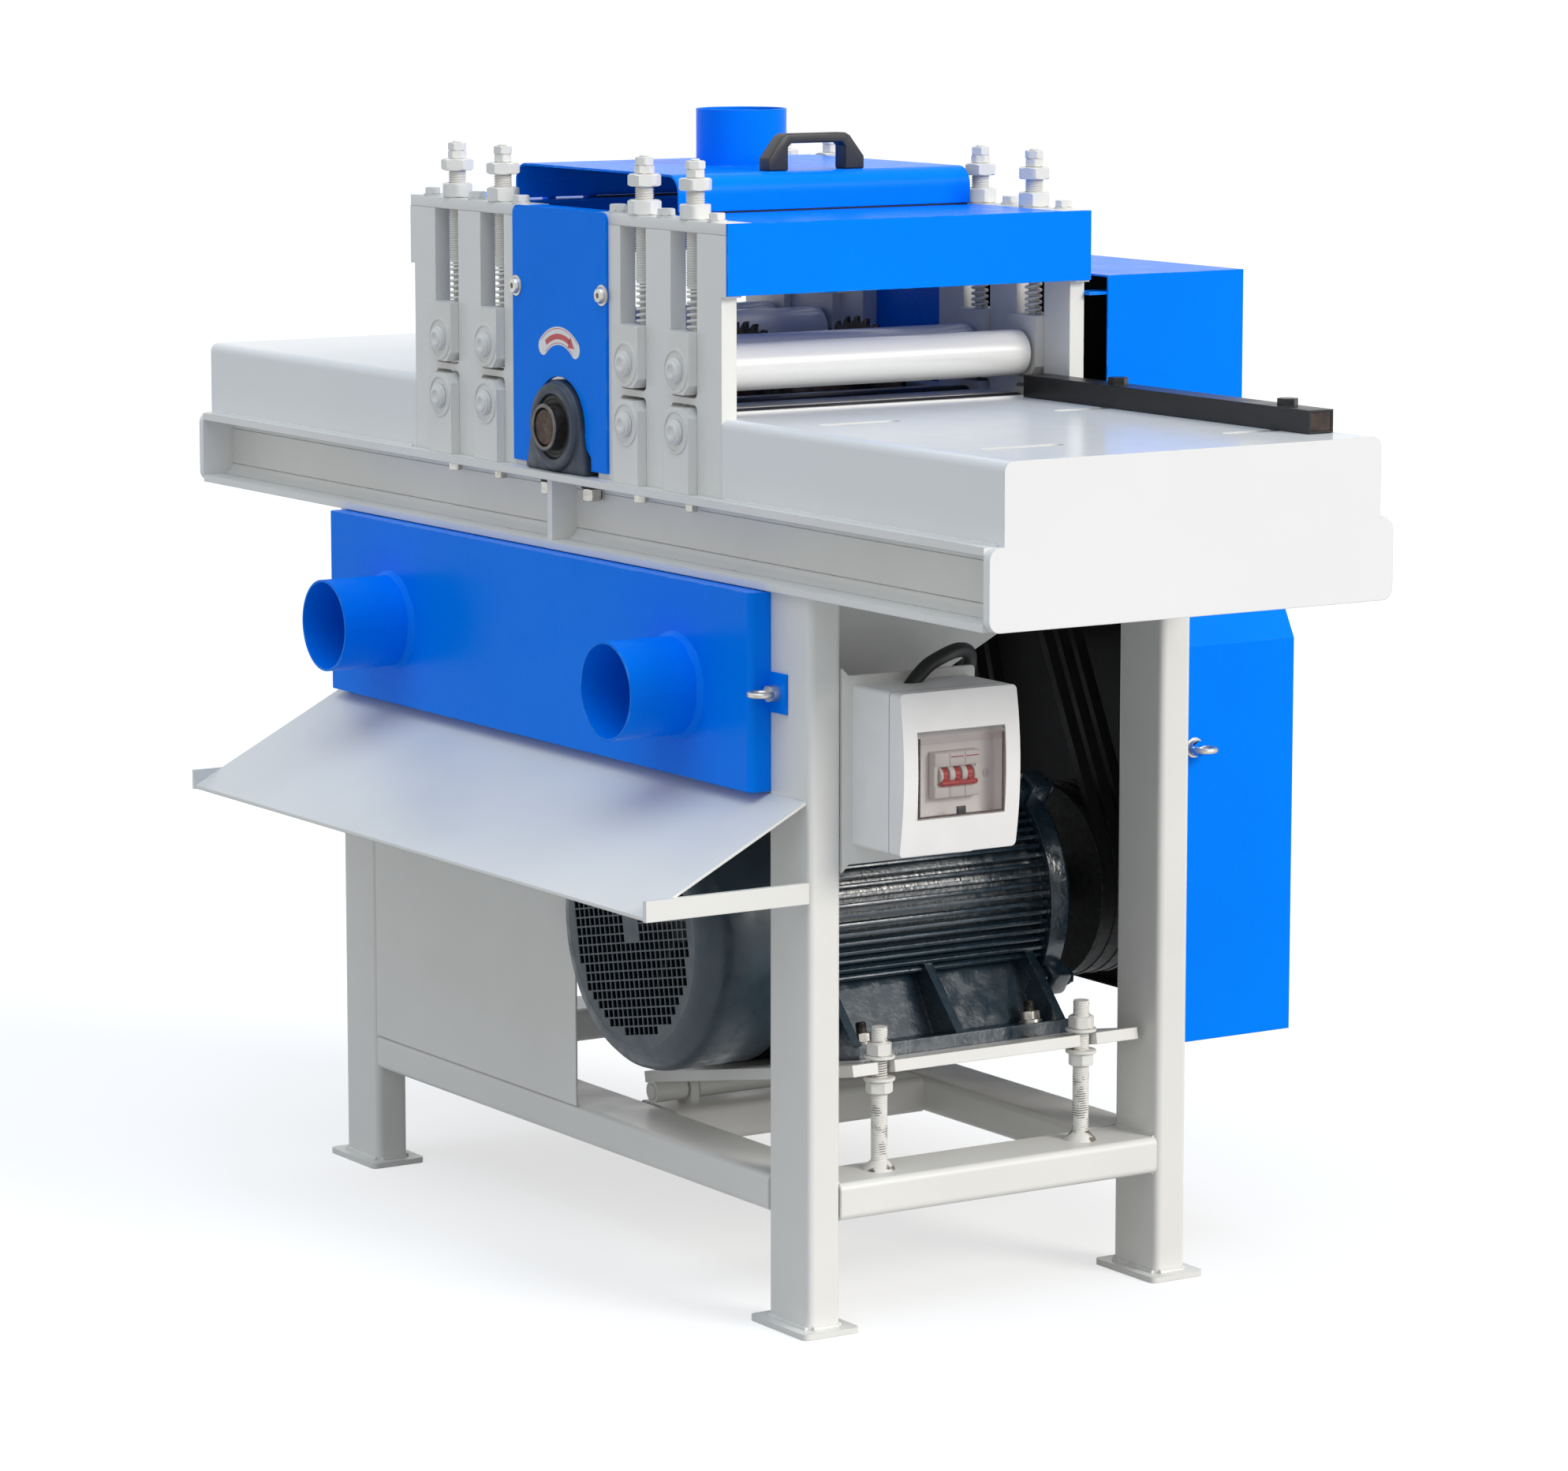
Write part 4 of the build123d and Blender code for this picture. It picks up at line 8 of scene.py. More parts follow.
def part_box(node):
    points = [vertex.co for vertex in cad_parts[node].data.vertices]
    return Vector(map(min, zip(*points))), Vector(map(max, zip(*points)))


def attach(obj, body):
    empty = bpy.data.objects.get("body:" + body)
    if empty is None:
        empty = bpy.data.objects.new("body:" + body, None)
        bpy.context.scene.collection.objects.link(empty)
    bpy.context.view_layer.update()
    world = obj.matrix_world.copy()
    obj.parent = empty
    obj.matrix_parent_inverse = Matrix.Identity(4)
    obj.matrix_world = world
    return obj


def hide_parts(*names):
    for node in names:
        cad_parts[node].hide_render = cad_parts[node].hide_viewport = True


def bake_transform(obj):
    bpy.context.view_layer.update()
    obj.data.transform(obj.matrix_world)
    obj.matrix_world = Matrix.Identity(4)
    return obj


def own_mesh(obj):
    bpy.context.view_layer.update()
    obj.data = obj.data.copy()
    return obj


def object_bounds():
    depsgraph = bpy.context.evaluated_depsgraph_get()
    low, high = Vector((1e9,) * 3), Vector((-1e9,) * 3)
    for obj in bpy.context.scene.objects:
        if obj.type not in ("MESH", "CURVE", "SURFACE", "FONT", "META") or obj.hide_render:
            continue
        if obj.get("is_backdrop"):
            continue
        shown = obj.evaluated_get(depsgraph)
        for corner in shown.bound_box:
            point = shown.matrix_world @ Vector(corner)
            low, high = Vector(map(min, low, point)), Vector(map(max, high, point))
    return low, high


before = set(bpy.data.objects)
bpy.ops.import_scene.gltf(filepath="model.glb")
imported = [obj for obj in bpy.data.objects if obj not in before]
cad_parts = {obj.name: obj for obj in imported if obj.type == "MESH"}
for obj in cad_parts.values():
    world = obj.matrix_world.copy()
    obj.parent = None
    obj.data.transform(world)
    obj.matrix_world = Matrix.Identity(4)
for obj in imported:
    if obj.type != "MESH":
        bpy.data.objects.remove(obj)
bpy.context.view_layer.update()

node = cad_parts


# Base frame
# Rectangular steel tube welded into four legs, rails, a breaker tab and chute arms, on plain foot plates.
# It is sprayed with cream-white enamel after welding, so beads, studs and spatter carry the same paint.
def link(tree, socket, value):
    if isinstance(value, bpy.types.NodeSocket):
        tree.links.new(value, socket)
    else:
        socket.default_value = value


def put(tree, made, **inputs):
    for socket, value in inputs.items():
        link(tree, made.inputs[socket.replace("_", " ")], value)


def add(tree, kind, **inputs):
    made = tree.nodes.new(kind)
    put(tree, made, **inputs)
    return made


def reach(tree, value, low, high, to_low=0.0, to_high=1.0):
    return add(tree, "ShaderNodeMapRange", Value=value, From_Min=low, From_Max=high,
               To_Min=to_low, To_Max=to_high).outputs["Result"]


def tint(tree, share, first, second):
    mix = tree.nodes.new("ShaderNodeMix")
    mix.data_type = "RGBA"
    for index, value in ((0, share), (6, first), (7, second)):
        link(tree, mix.inputs[index], (*value, 1) if isinstance(value, tuple) else value)
    return mix.outputs[2]


def combine(tree, operation, first, second, kind="ShaderNodeMath"):
    made = tree.nodes.new(kind)
    made.operation = operation
    link(tree, made.inputs[0], first)
    link(tree, made.inputs[1], second)
    return made.outputs["Value"]


def facing(tree, first, second):
    return combine(tree, "DOT_PRODUCT", first, second, "ShaderNodeVectorMath")


def surface(name):
    material = bpy.data.materials.new(name)
    material.use_nodes = True
    tree = material.node_tree
    place = tree.nodes.new("ShaderNodeTexCoord").outputs["Object"]
    return material, tree, tree.nodes["Principled BSDF"], place


def noise(tree, place, scale, detail=3.0):
    return add(tree, "ShaderNodeTexNoise", Vector=place, Scale=scale, Detail=detail).outputs["Fac"]


def mottle(tree, place, scale, shade, colour):
    return tint(tree, reach(tree, noise(tree, place, scale, 6.0), 0.35, 0.65), shade, colour)


def grain(tree, place, strength, depth, scale, *normal):
    height = noise(tree, place, scale, 3.0)
    bump = add(tree, "ShaderNodeBump", Strength=strength, Distance=depth, Height=height)
    for below in normal:
        link(tree, bump.inputs["Normal"], below)
    return bump.outputs["Normal"]


# Bevel-rounded normal and a noisy mask along edges; the mask carries worn paint, and on azure enamel also a
# painted highlight.
def rounded_edges(tree, place, radius, scale):
    rounding = add(tree, "ShaderNodeBevel", Radius=radius)
    rounding.samples = 4
    normal = rounding.outputs["Normal"]
    flat = tree.nodes.new("ShaderNodeNewGeometry").outputs["Normal"]
    edge = reach(tree, facing(tree, normal, flat), 0.96, 0.8)
    return normal, combine(tree, "MULTIPLY", edge, reach(tree, noise(tree, place, scale, 5.0), 0.5, 0.66))


def sheen(tree, place, scale, low, high, spread=0.2):
    return reach(tree, noise(tree, place, scale), 0.5 - spread, 0.5 + spread, low, high)


# Enamel with a random tone and its own colour along noisy edges: worn paint on cream and black, and on azure
# partly worn paint, partly a painted highlight.
def enamel(name, colour, shade, edge_colour, gloss, peel, mirror=0.4, uneven=0.12):
    material, tree, shader, place = surface(name)
    normal, edge_mask = rounded_edges(tree, place, 0.0014, 45.0)
    put(tree, shader, Base_Color=tint(tree, edge_mask, mottle(tree, place, 5.0, shade, colour), edge_colour),
        Roughness=sheen(tree, place, 30.0, gloss, gloss + uneven),
        Normal=grain(tree, place, peel, 0.0005, 520.0, normal), Specular_IOR_Level=mirror)
    return material


def dress(material, *names):
    for name in names:
        node[name].data.materials.clear()
        node[name].data.materials.append(material)


def piece(name, mesh, body, material, slot, *stands_for, smooth=35.0):
    bmesh.ops.recalc_face_normals(mesh, faces=mesh.faces[:])
    data = bpy.data.meshes.new(name)
    mesh.to_mesh(data)
    mesh.free()
    data.shade_smooth()
    data.set_sharp_from_angle(angle=math.radians(smooth))
    data.materials.append(material)
    made = bpy.data.objects.new(name, data)
    bpy.context.scene.collection.objects.link(made)
    if body:
        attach(made, body)
    if stands_for:
        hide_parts(*stands_for)
    return made


def verts_of(geometry):
    return [part for part in geometry if isinstance(part, bmesh.types.BMVert)]


def edges_of(geometry):
    return [part for part in geometry if isinstance(part, bmesh.types.BMEdge)]


def edges_round(verts):
    return list(dict.fromkeys(edge for vert in verts for edge in vert.link_edges))


cream = enamel("cream_enamel", (0.79, 0.78, 0.745), (0.75, 0.74, 0.705), (0.55, 0.52, 0.47), 0.28, 0.10)
dress(cream, "base_frame")


def weld_bead(mesh, start, end, radius):
    start, end = Vector(start), Vector(end)
    run = end - start
    steps = max(4, round(run.length / 0.004))
    turn = run.to_track_quat("Z", "Y").to_matrix().to_4x4()
    made = bmesh.ops.create_circle(mesh, cap_ends=True, radius=radius, segments=8,
                                   matrix=Matrix.Translation(start) @ turn)
    edges = edges_round(made["verts"])
    for step in range(1, steps + 1):
        grown = bmesh.ops.extrude_edge_only(mesh, edges=edges)["geom"]
        edges = edges_of(grown)
        middle = start + run * step / steps
        swell = radius * (0.8 + 0.2 * math.cos(2.3 * step) + 0.12 * math.sin(0.7 * step))
        bmesh.ops.translate(mesh, vec=run / steps, verts=verts_of(grown))
        for vert in verts_of(grown):
            vert.co = middle + (vert.co - middle).normalized() * swell
    bmesh.ops.contextual_create(mesh, geom=edges)


LEG_XS, LEG_Y, LEG_WIDE, LEG_DEEP = (0.4544, -0.4376), 0.2137, 0.0385, 0.0195
FOOT_TOP, FOOT_RUN_X, FOOT_RUN_Y, FOOT_BEAD = 0.0065, 0.034, 0.015, 0.0032
RAIL_LOW, RAIL_TOP, RAIL_Y, RAIL_RUN, RAIL_BEAD = 0.1117, 0.1503, 0.1945, 0.032, 0.0022
ARM_X, ARM_Y, ARM_LOW, ARM_HIGH, SEAM_BEAD = 0.0315, -0.2330, 0.439, 0.457, 0.0026
mesh = bmesh.new()
for x in LEG_XS:
    for y in (-LEG_Y, LEG_Y):
        for side in (-1, 1):
            edge = y + side * LEG_DEEP
            weld_bead(mesh, (x - FOOT_RUN_X, edge, FOOT_TOP), (x + FOOT_RUN_X, edge, FOOT_TOP), FOOT_BEAD)
            edge = x + side * LEG_WIDE
            weld_bead(mesh, (edge, y - FOOT_RUN_Y, FOOT_TOP), (edge, y + FOOT_RUN_Y, FOOT_TOP), FOOT_BEAD)
    for y in (-RAIL_Y, RAIL_Y):
        for level in (RAIL_LOW, RAIL_TOP):
            weld_bead(mesh, (x - RAIL_RUN, y, level), (x + RAIL_RUN, y, level), RAIL_BEAD)
for x in (LEG_XS[0] + ARM_X, LEG_XS[1] - ARM_X):
    weld_bead(mesh, (x, ARM_Y, ARM_LOW), (x, ARM_Y, ARM_HIGH), SEAM_BEAD)
piece("frame_welds", mesh, "machine", cream, "cream_paint")


# Cradle studs
# Two M16 rods welded upright on the end rail, with a lump of weld and paint spatter round each foot.
# They are threaded to the top, and the enamel has rubbed off in patches where the nuts have run.
def thread_enamel(name, rubbed_from):
    material, tree, shader, place = surface(name)
    paint = mottle(tree, place, 14.0, (0.72, 0.705, 0.665), (0.79, 0.775, 0.735))
    rubbed = reach(tree, noise(tree, place, 70.0, 5.0), rubbed_from, rubbed_from + 0.06)
    put(tree, shader, Base_Color=tint(tree, rubbed, paint, (0.16, 0.14, 0.12)),
        Roughness=sheen(tree, place, 160.0, 0.34, 0.5), Normal=grain(tree, place, 0.12, 0.0003, 900.0))
    return material


def thread(mesh, x, y, low, high, root, crest, pitch, steps=20):
    first = mesh.verts.new((x + root, y, low))
    second = mesh.verts.new((x + crest, y, low + pitch / 2))
    third = mesh.verts.new((x + root, y, low + pitch))
    line = [mesh.edges.new((first, second)), mesh.edges.new((second, third))]
    turns = (high - low) / pitch - 1
    bmesh.ops.spin(mesh, geom=[first, second, third, *line], cent=(x, y, 0), axis=(0, 0, 1),
                   dvec=(0, 0, pitch / steps), angle=2 * math.pi * turns, steps=round(steps * turns))


MERGE = 0.000002


def lathe(mesh, origin, axis, outline, steps=32):
    axis = Vector(axis).normalized()
    place = Matrix.Translation(origin) @ axis.to_track_quat("Z", "Y").to_matrix().to_4x4()
    before = set(mesh.verts)
    verts = [mesh.verts.new(place @ Vector((radius, 0, along))) for radius, along in outline]
    edges = [mesh.edges.new(pair) for pair in zip(verts, verts[1:])]
    bmesh.ops.spin(mesh, geom=[*verts, *edges], cent=origin, axis=axis, angle=2 * math.pi, steps=steps,
                   use_merge=True)
    fresh = [vert for vert in mesh.verts if vert not in before]
    bmesh.ops.remove_doubles(mesh, verts=fresh, dist=MERGE)


STUD_X, STUD_Y, STUD_LOW, STUD_TOP = 0.4544, 0.1245, 0.158, 0.2955
STUD_THREAD = {"root": 0.0070, "crest": 0.0087, "pitch": 0.0025}
stud_paint = thread_enamel("stud_enamel", 0.52)
mesh = bmesh.new()
for y in (-STUD_Y, STUD_Y):
    thread(mesh, STUD_X, y, STUD_LOW, STUD_TOP, **STUD_THREAD)
    lathe(mesh, (STUD_X, y, RAIL_TOP - 0.0008), (0, 0, 1),
          [(0.0175, 0.0), (0.0158, 0.0028), (0.0124, 0.0056), (0.0098, 0.0088), (0.0076, 0.0098)], 20)
piece("stud_threads", mesh, "machine", stud_paint, "cream_paint")


# Waste chute
# Thin sheet steel bent to a slope between the legs, so offcuts slide out on the dust port side.
# The sheet lies on the two chute arms and is sprayed with the frame.
dress(cream, "waste_chute")


# Side channels
# Hot-rolled channel, one along each side, so the inside corners of web and flange are rolled round.
# Tables, end plates and the middle rib are welded on, and the weld runs are uneven under the paint.
def extrude(mesh, faces, way):
    grown = bmesh.ops.extrude_face_region(mesh, geom=faces)["geom"]
    bmesh.ops.translate(mesh, vec=way, verts=verts_of(grown))


def round_off(mesh, edges, offset, segments):
    bmesh.ops.bevel(mesh, geom=edges, offset=offset, segments=segments, profile=0.5, affect="EDGES",
                    material=-1)


dress(cream, "side_channels")
WEB_Y, FLANGE_LOW, FLANGE_HIGH, CHANNEL_TOP = 0.2005, 0.748, 0.812, 0.820
RIB_NEAR, RIB_FAR, CHANNEL_END, ROOT, HOLLOW = -0.0068, -0.0172, 0.797, 0.012, 0.0035
mesh = bmesh.new()
for side in (-1, 1):
    for level, lift in ((FLANGE_LOW, 1), (FLANGE_HIGH, -1)):
        for start, end in ((-CHANNEL_END, RIB_FAR), (RIB_NEAR, CHANNEL_END)):
            corner = [(start, side * (WEB_Y + out), level + lift * up)
                      for out, up in ((0, 0), (ROOT, 0), (HOLLOW, HOLLOW), (0, ROOT))]
            face = mesh.faces.new([mesh.verts.new(point) for point in corner])
            extrude(mesh, [face], (end - start, 0, 0))
hollow = [edge for edge in mesh.edges if edge.calc_length() > 0.5
          and abs(abs(edge.verts[0].co.y) - WEB_Y - HOLLOW) < 0.001]
round_off(mesh, hollow, 0.006, 4)
SEAM_Y, HEAD_EDGE = 0.2225, 0.322
for side in (-1, 1):
    for start, end in ((-CHANNEL_END, -HEAD_EDGE), (HEAD_EDGE, CHANNEL_END)):
        weld_bead(mesh, (start, side * SEAM_Y, CHANNEL_TOP), (end, side * SEAM_Y, CHANNEL_TOP), SEAM_BEAD)
piece("channel_fillets_and_seams", mesh, "machine", cream, "cream_paint", smooth=60.0)


# Tables and bed
# Folded plate tables with welded end plates, and flat bed strips between the lower rollers.
# The tops are sprayed with the rest and polished a little by the timber that slides over them.
table_top = enamel("table_enamel", (0.82, 0.82, 0.81), (0.805, 0.805, 0.795), (0.70, 0.68, 0.64), 0.20, 0.0,
                   0.20, 0.02)
dress(table_top, "infeed_table", "outfeed_table", "bed_plates")


# Head side plates and cap bars
# Thick flame-cut plates with slots for the roller blocks. Flat bars are bolted across the slots,
# and a welded M20 nut over each slot carries an adjusting screw.
def hex_block(mesh, x, y, low, high, across, turn=0.0, bevel=0.05):
    flat = across / 2 * (1 - bevel)
    made = bmesh.ops.create_circle(mesh, cap_ends=True, radius=flat, segments=36,
                                   matrix=Matrix.Translation((x, y, low)))
    edges = edges_round(made["verts"])
    for stage in range(3):
        grown = bmesh.ops.extrude_edge_only(mesh, edges=edges)["geom"]
        edges = edges_of(grown)
        for vert in verts_of(grown):
            angle = math.atan2(vert.co.y - y, vert.co.x - x)
            corner = (angle - turn) % math.radians(60) - math.radians(30)
            wide = across / 2 / math.cos(corner)
            fall = (wide - flat) * math.tan(math.radians(30))
            radius = flat if stage == 2 else wide
            level = (low + fall, high - fall, high)[stage]
            vert.co = (x + radius * math.cos(angle), y + radius * math.sin(angle), level)
    bmesh.ops.contextual_create(mesh, geom=edges)


def cube(mesh, low, high):
    low, high = Vector(low), Vector(high)
    place = Matrix.Translation((low + high) / 2) @ Matrix.Diagonal((*(high - low), 1))
    return edges_round(bmesh.ops.create_cube(mesh, size=1.0, matrix=place)["verts"])


def block(mesh, low, high, rounding, segments=2):
    round_off(mesh, cube(mesh, low, high), rounding, segments)


dress(cream, "head_side_plates", "lower_bearing_blocks")
ROWS = {1: 0.243, 2: 0.1445, 3: -0.1445, 4: -0.243}
SCREW_Y, CAP_IN, CAP_OUT, CAP_LOW, CAP_TOP = 0.208, 0.190, 0.222, 1.083, 1.095
CAP_START, EAR_END, CAP_NUT, CAP_NUT_WIDE = 0.078, 0.3228, 0.0155, 0.031
mesh = bmesh.new()
for side in (-1, 1):
    inner, outer = sorted((side * CAP_IN, side * CAP_OUT))
    for end in (-1, 1):
        near, far = sorted((end * CAP_START, end * EAR_END))
        block(mesh, (near, inner, CAP_LOW), (far, outer, CAP_TOP), 0.0009)
    for row, x in ROWS.items():
        hex_block(mesh, x, side * SCREW_Y, CAP_TOP, CAP_TOP + CAP_NUT, CAP_NUT_WIDE, 0.4 * row + side)
piece("cap_bars_and_nuts", mesh, "machine", cream, "cream_paint", "cap_bars")

CAP_BOLT_XS, CAP_BOLT_Y = (0.0995, 0.19375, 0.2905), 0.212
WASHER_R, WASHER, BOLT_LOW, BOLT_TOP, BOLT_WIDE = 0.0100, 0.002, 1.0968, 1.104, 0.016
mesh = bmesh.new()
for index, x in enumerate(CAP_BOLT_XS):
    for end in (-1, 1):
        for y in (-CAP_BOLT_Y, CAP_BOLT_Y):
            lathe(mesh, (end * x, y, CAP_TOP), (0, 0, 1),
                  [(0, 0), (WASHER_R, 0), (WASHER_R, WASHER), (0, WASHER)], 24)
            hex_block(mesh, end * x, y, BOLT_LOW, BOLT_TOP, BOLT_WIDE, 0.7 * index + end + 9 * y)
piece("cap_bolt_heads", mesh, "machine", cream, "cream_paint", "cap_bolts")


# Height adjusters
# Hollow M20 screws press the roller blocks down through springs, and a rod with two locked nuts
# runs up through each screw. Everything was sprayed in place, so nuts and threads are cream too.
screw_paint = thread_enamel("adjuster_enamel", 0.80)
BEARING_RING = [(0.0228, 0.0), (0.0226, 0.0013), (0.0212, 0.0016), (0.0200, 0.0013), (0.0197, 0.0)]
BLOCK_IN, BLOCK_OUT, RING_Y, UPPER_Z, LOWER_Z = 0.194, 0.232, 0.2318, 0.944, 0.882
mesh = bmesh.new()
for side in (-1, 1):
    for x in ROWS.values():
        lathe(mesh, (x, side * RING_Y, LOWER_Z), (0, side, 0), BEARING_RING, 36)
piece("lower_bearing_rings", mesh, "machine", cream, "cream_paint")

SCREW_LOW, SCREW_TOP, SCREW_HEAD, BORE_R, CORE_R = 1.0252, 1.1240, 1.1365, 0.0066, 0.0085
SCREW_THREAD = {"root": 0.0083, "crest": 0.0100, "pitch": 0.0025}
BLOCK_LOW, SEAT_Z, BLOCK_HALF, BLOCK_CHAMFER, ROD_TOP, ROD_R = 0.920, 0.983, 0.0247, 0.010, 1.1558, 0.0048
ROD_THREAD = {"root": 0.0046, "crest": 0.00575, "pitch": 0.00175, "steps": 16}
ROD_NUTS, ROD_NUT_WIDE = ((1.1368, 1.1452, 0.5), (1.1453, 1.1538, 0.8)), 0.018
COIL_R, WIRE_R, COILS = 0.0078, 0.0015, ((0.9, 0.0032), (5.2, 0.0326), (0.9, 0.0030))
for row, x in ROWS.items():
    mesh = bmesh.new()
    for y in (-SCREW_Y, SCREW_Y):
        thread(mesh, x, y, SCREW_LOW + 0.001, SCREW_TOP, **SCREW_THREAD)
        lathe(mesh, (x, y, 0), (0, 0, 1), [(BORE_R, SCREW_LOW), (CORE_R, SCREW_LOW), (CORE_R, SCREW_TOP)], 24)
        hex_block(mesh, x, y, SCREW_TOP, SCREW_HEAD, CAP_NUT_WIDE, 0.9 * row + 3 * y)
    piece(f"adjuster_screws_{row}", mesh, f"adjusters_{row}", screw_paint, "cream_paint",
          f"adjusting_screws_{row}")

    mesh = bmesh.new()
    for side in (-1, 1):
        y = side * SCREW_Y
        inner, outer = sorted((side * BLOCK_IN, side * BLOCK_OUT))
        edges = cube(mesh, (x - BLOCK_HALF, inner, BLOCK_LOW), (x + BLOCK_HALF, outer, SEAT_Z))
        foot = [edge for edge in edges if edge.verts[0].co.y != edge.verts[1].co.y
                and edge.verts[0].co.z < (BLOCK_LOW + SEAT_Z) / 2]
        round_off(mesh, foot, BLOCK_CHAMFER, 1)
        lathe(mesh, (x, side * RING_Y, UPPER_Z), (0, side, 0), BEARING_RING, 36)
        thread(mesh, x, y, SEAT_Z + 0.001, ROD_TOP - 0.0002, **ROD_THREAD)
        lathe(mesh, (x, y, 0), (0, 0, 1),
              [(ROD_R, SEAT_Z), (ROD_R, ROD_TOP - 0.0008), (ROD_R - 0.0008, ROD_TOP), (0, ROD_TOP)], 16)
        for low, high, turn in ROD_NUTS:
            hex_block(mesh, x, y, low, high, ROD_NUT_WIDE, turn * row + side)
    piece(f"roller_carriage_{row}", mesh, f"carriage_{row}", screw_paint, "cream_paint", f"carriage_{row}")

    mesh = bmesh.new()
    for y in (-SCREW_Y, SCREW_Y):
        start = Matrix.Translation((x + COIL_R, y, SEAT_Z + 0.0016))
        wire = bmesh.ops.create_circle(mesh, cap_ends=True, radius=WIRE_R, segments=10,
                                       matrix=start @ Matrix.Rotation(math.radians(90), 4, "X"))["verts"]
        edges = edges_round(wire)
        for turns, rise in COILS:
            steps = round(24 * turns)
            last = bmesh.ops.spin(mesh, geom=[*wire, *edges], cent=(x, y, 0), axis=(0, 0, 1), steps=steps,
                                  dvec=(0, 0, rise / steps), angle=2 * math.pi * turns)["geom_last"]
            wire, edges = verts_of(last), edges_of(last)
        bmesh.ops.contextual_create(mesh, geom=edges)
    spring = piece(f"pressure_springs_{row}", mesh, f"adjusters_{row}", screw_paint, "cream_paint",
                   f"carriage_springs_{row}")
    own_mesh(spring)


# Rollers
# Ground steel bars turning in the blocks: pale satin ones press from above, dark driven ones below.
# Their stub ends were sprayed over with the blocks, with a stepped hub and a centre hole in each.
def ground_steel(name, colour, shade, rough, metal):
    material, tree, shader, place = surface(name)
    along = add(tree, "ShaderNodeSeparateXYZ", Vector=place).outputs["Y"]
    size = combine(tree, "ABSOLUTE", along, 0.0)
    paint = reach(tree, size, STUB_Y, STUB_Y + 0.0004)
    turned = add(tree, "ShaderNodeMapping", Vector=place, Scale=(12.0, 900.0, 12.0)).outputs["Vector"]
    lines = noise(tree, turned, 1.0, 3.0)
    steel = tint(tree, reach(tree, lines, 0.3, 0.7), shade, colour)
    put(tree, shader, Base_Color=tint(tree, paint, steel, (0.77, 0.755, 0.715)), Roughness=rough,
        Metallic=reach(tree, paint, 0.0, 1.0, metal, 0.0))
    return material


STUB_Y, HUB_Y = 0.2322, 0.2362
pale_steel = ground_steel("pressure_roller_steel", (0.80, 0.80, 0.79), (0.785, 0.785, 0.775), 0.22, 0.05)
dark_steel = ground_steel("feed_roller_steel", (0.050, 0.048, 0.046), (0.030, 0.029, 0.028), 0.38, 0.5)
HUB = [(0.0128, 0.0), (0.0124, 0.0006), (0.0104, 0.0009), (0.0098, 0.0021), (0.0094, 0.0024),
       (0.0062, 0.0026), (0.0050, 0.0014), (0.0032, 0.0004), (0, 0.0003)]
for row, x in ROWS.items():
    dress(pale_steel, f"upper_roller_{row}")
    dress(dark_steel, f"lower_roller_{row}")
    for level, body, sides in ((UPPER_Z, f"upper_roller_{row}", (-1, 1)),
                               (LOWER_Z, f"lower_roller_{row}", (-1,))):
        mesh = bmesh.new()
        for side in sides:
            lathe(mesh, (x, side * HUB_Y, level), (0, side, 0), HUB, 24)
        piece(f"{body}_hub", mesh, body, cream, "cream_paint")


# Arbor bearings
# Cast pillow blocks in slate enamel, bolted up through the channel flange, with a self-aligning insert.
# The insert's seal and collar are bare steel, and the oiled shaft end shows brown inside the collar.
def casting(name, colour, shade, edge_colour, gloss, lumps, mirror=0.5):
    material, tree, shader, place = surface(name)
    normal, edge_mask = rounded_edges(tree, place, 0.002, 120.0)
    put(tree, shader, Base_Color=tint(tree, edge_mask, mottle(tree, place, 16.0, shade, colour), edge_colour),
        Roughness=sheen(tree, place, 60.0, gloss, gloss + 0.18, 0.15),
        Normal=grain(tree, place, lumps, 0.0012, 210.0, normal), Specular_IOR_Level=mirror)
    return material


slate = casting("slate_bearing_enamel", (0.021, 0.034, 0.056), (0.015, 0.025, 0.042), (0.07, 0.09, 0.12),
                0.36, 0.25)
ARBOR_Z, HOUSING_R, HOUSING_FACE, HOUSING_DEEP = 0.868, 0.048, 0.2300, 0.044
FOOT_X, FOOT_Z, NIPPLE_Y, NIPPLE_Z = 0.060, 0.830, 0.210, 0.915
mesh = bmesh.new()
for side in (-1, 1):
    foot_reach = math.hypot(FOOT_X, ARBOR_Z - FOOT_Z)
    lean = math.acos(HOUSING_R / foot_reach) - math.atan2(ARBOR_Z - FOOT_Z, FOOT_X)
    face_y = side * HOUSING_FACE
    start = mesh.verts.new((HOUSING_R * math.cos(lean), face_y, ARBOR_Z + HOUSING_R * math.sin(lean)))
    bmesh.ops.spin(mesh, geom=[start], cent=(0, face_y, ARBOR_Z), axis=(0, -1, 0),
                   angle=math.pi - 2 * lean, steps=30)
    crown = [vert for vert in mesh.verts if abs(vert.co.y - face_y) < 1e-6]
    end = min(crown, key=lambda vert: (vert.co - Vector((-start.co.x, face_y, start.co.z))).length)
    foot = [mesh.verts.new((x, face_y, z)) for x, z in ((-FOOT_X, FOOT_Z), (-FOOT_X, CHANNEL_TOP),
                                                        (FOOT_X, CHANNEL_TOP), (FOOT_X, FOOT_Z))]
    for pair in zip([end, *foot], [*foot, start]):
        mesh.edges.new(pair)
    face = bmesh.ops.contextual_create(mesh, geom=edges_round(crown + foot))["faces"]
    extrude(mesh, face, (0, -side * HOUSING_DEEP, 0))
rims = [edge for edge in mesh.edges if len(edge.link_faces) == 2 and edge.calc_face_angle() > 0.6]
round_off(mesh, rims, 0.0025, 3)
